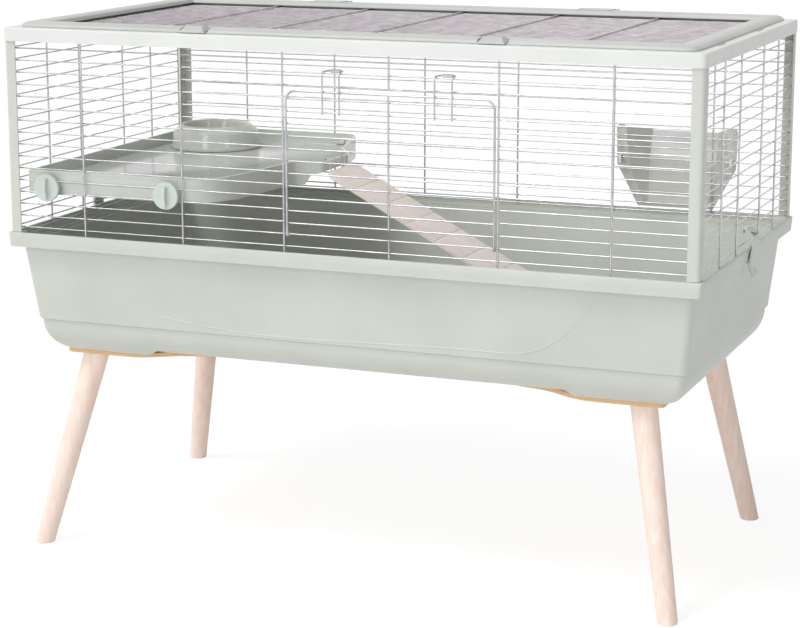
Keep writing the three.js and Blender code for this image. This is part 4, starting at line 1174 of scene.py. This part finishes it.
@dataclass
class Studio:
    """The floor, the light and the camera."""

    eye: tuple[float, float, float] = (1.1584, -2.9472, 1.0159)
    elevation: float = 12.285
    azimuth: float = 21.672
    lens: float = 100.97
    ambient: tuple[float, float] = (0.95, 0.12)
    key: float = 1.27
    key_direction: tuple[float, float, float] = (0.3, 0.42, -0.8)
    key_spread: float = 24.0
    softboxes: tuple[tuple[Point, float, float], ...] = (
        ((-0.55, -3.3, 1.5), 0.7, 20.0), ((2.5, -1.9, 1.4), 0.35, 10.0))
    softbox_height: float = 1.8
    softbox_aim: tuple[float, float, float] = (0.0, 0.0, 0.5)
    floor_half: float = 30000.0
    floor_grey: float = 0.86
    floor_glow: float = 1.12
    floor_lift: float = 0.75

    def floor(self) -> None:
        """Lay a wide white floor that keeps the shadow."""
        shape = Shape()
        bmesh.ops.create_grid(shape.bm, x_segments=1, y_segments=1, size=self.floor_half)
        mesh = shape.mesh("studio_floor")
        made = placed("studio_floor", mesh)
        material = bpy.data.materials.new("white_studio_floor")
        material.use_nodes = True
        tree = material.node_tree
        tree.nodes.clear()
        matt = add(tree, "BsdfDiffuse", {"Color": (*[self.floor_grey] * 3, 1.0)})
        path = add(tree, "LightPath")
        glow = add(tree, "Emission", {"Color": (1.0, 1.0, 1.0, 1.0), "Strength": self.floor_glow})
        seen = add(tree, "Math", {"operation": "MAXIMUM"},
                   {0: path.outputs["Is Camera Ray"], 1: path.outputs["Is Glossy Ray"]})
        lift = add(tree, "Math", {"operation": "MULTIPLY", 1: self.floor_lift}, {0: seen.outputs[0]})
        both = add(tree, "MixShader", links={0: lift.outputs[0], 1: matt.outputs[0], 2: glow.outputs[0]})
        add(tree, "OutputMaterial", links={"Surface": both.outputs[0]})
        mesh.materials.append(material)

    def light(self) -> None:
        """Light the scene softly, stronger from the left, with a key and two softboxes in front."""
        world = bpy.data.worlds.new("studio_world")
        bpy.context.scene.world = world
        world.use_nodes = True
        tree = world.node_tree
        tree.nodes.clear()
        path = add(tree, "LightPath")
        seen = add(tree, "Math", {"operation": "MAXIMUM"},
                   {0: path.outputs["Is Camera Ray"], 1: path.outputs["Is Glossy Ray"]})
        toward = add(tree, "SeparateXYZ", links={"Vector": add(tree, "TexCoord").outputs["Generated"]})
        falls = add(tree, "MapRange", {"From Min": -1.0, "From Max": 1.0, "To Min": self.ambient[0],
                                       "To Max": self.ambient[1]}, {"Value": toward.outputs["X"]})
        strength = add(tree, "MapRange", {"To Max": 1.0},
                       {"Value": seen.outputs[0], "To Min": falls.outputs["Result"]})
        back = add(tree, "Background", {"Color": (1.0, 1.0, 1.0, 1.0)},
                   {"Strength": strength.outputs["Result"]})
        add(tree, "OutputWorld", links={"Surface": back.outputs[0]})
        lamp = bpy.data.lights.new("key_light", "SUN")
        lamp.energy = self.key
        lamp.angle = math.radians(self.key_spread)
        made = placed("key_light", lamp)
        made.rotation_euler = Vector(self.key_direction).to_track_quat("-Z", "Y").to_euler()
        for i, (at, width, power) in enumerate(self.softboxes):
            box = bpy.data.lights.new(f"softbox_{i + 1}", "AREA")
            box.shape, box.size, box.size_y, box.energy = "RECTANGLE", width, self.softbox_height, power
            made = placed(box.name, box)
            made.location = at
            aim = Vector(self.softbox_aim) - Vector(at)
            made.rotation_euler = aim.to_track_quat("-Z", "Y").to_euler()

    def camera(self) -> None:
        """Set the camera at the photograph's place."""
        data = bpy.data.cameras.new("camera")
        data.lens = self.lens
        data.sensor_width = 36.0
        data.sensor_fit = "HORIZONTAL"
        data.clip_end = 200.0
        made = placed("camera", data)
        made.location = self.eye
        made.rotation_euler = Euler((math.radians(90 - self.elevation), 0.0, math.radians(self.azimuth)))
        bpy.context.scene.camera = made

    def build(self) -> None:
        """Set up floor, light and camera."""
        self.floor()
        self.light()
        self.camera()
        bpy.context.scene.view_settings.view_transform = "Standard"


def main() -> None:
    """Build the sub-assemblies in order and report each piece."""
    logging.basicConfig(level=logging.INFO, format="%(name)s: %(message)s")
    for part in (Studio(), Tray(), LegStand(), WireBox(), Frames(), Roof(), Door(), Inside(), Fittings()):
        log.info("building %s", type(part).__name__)
        part.build()


if __name__ == "__main__":
    main()
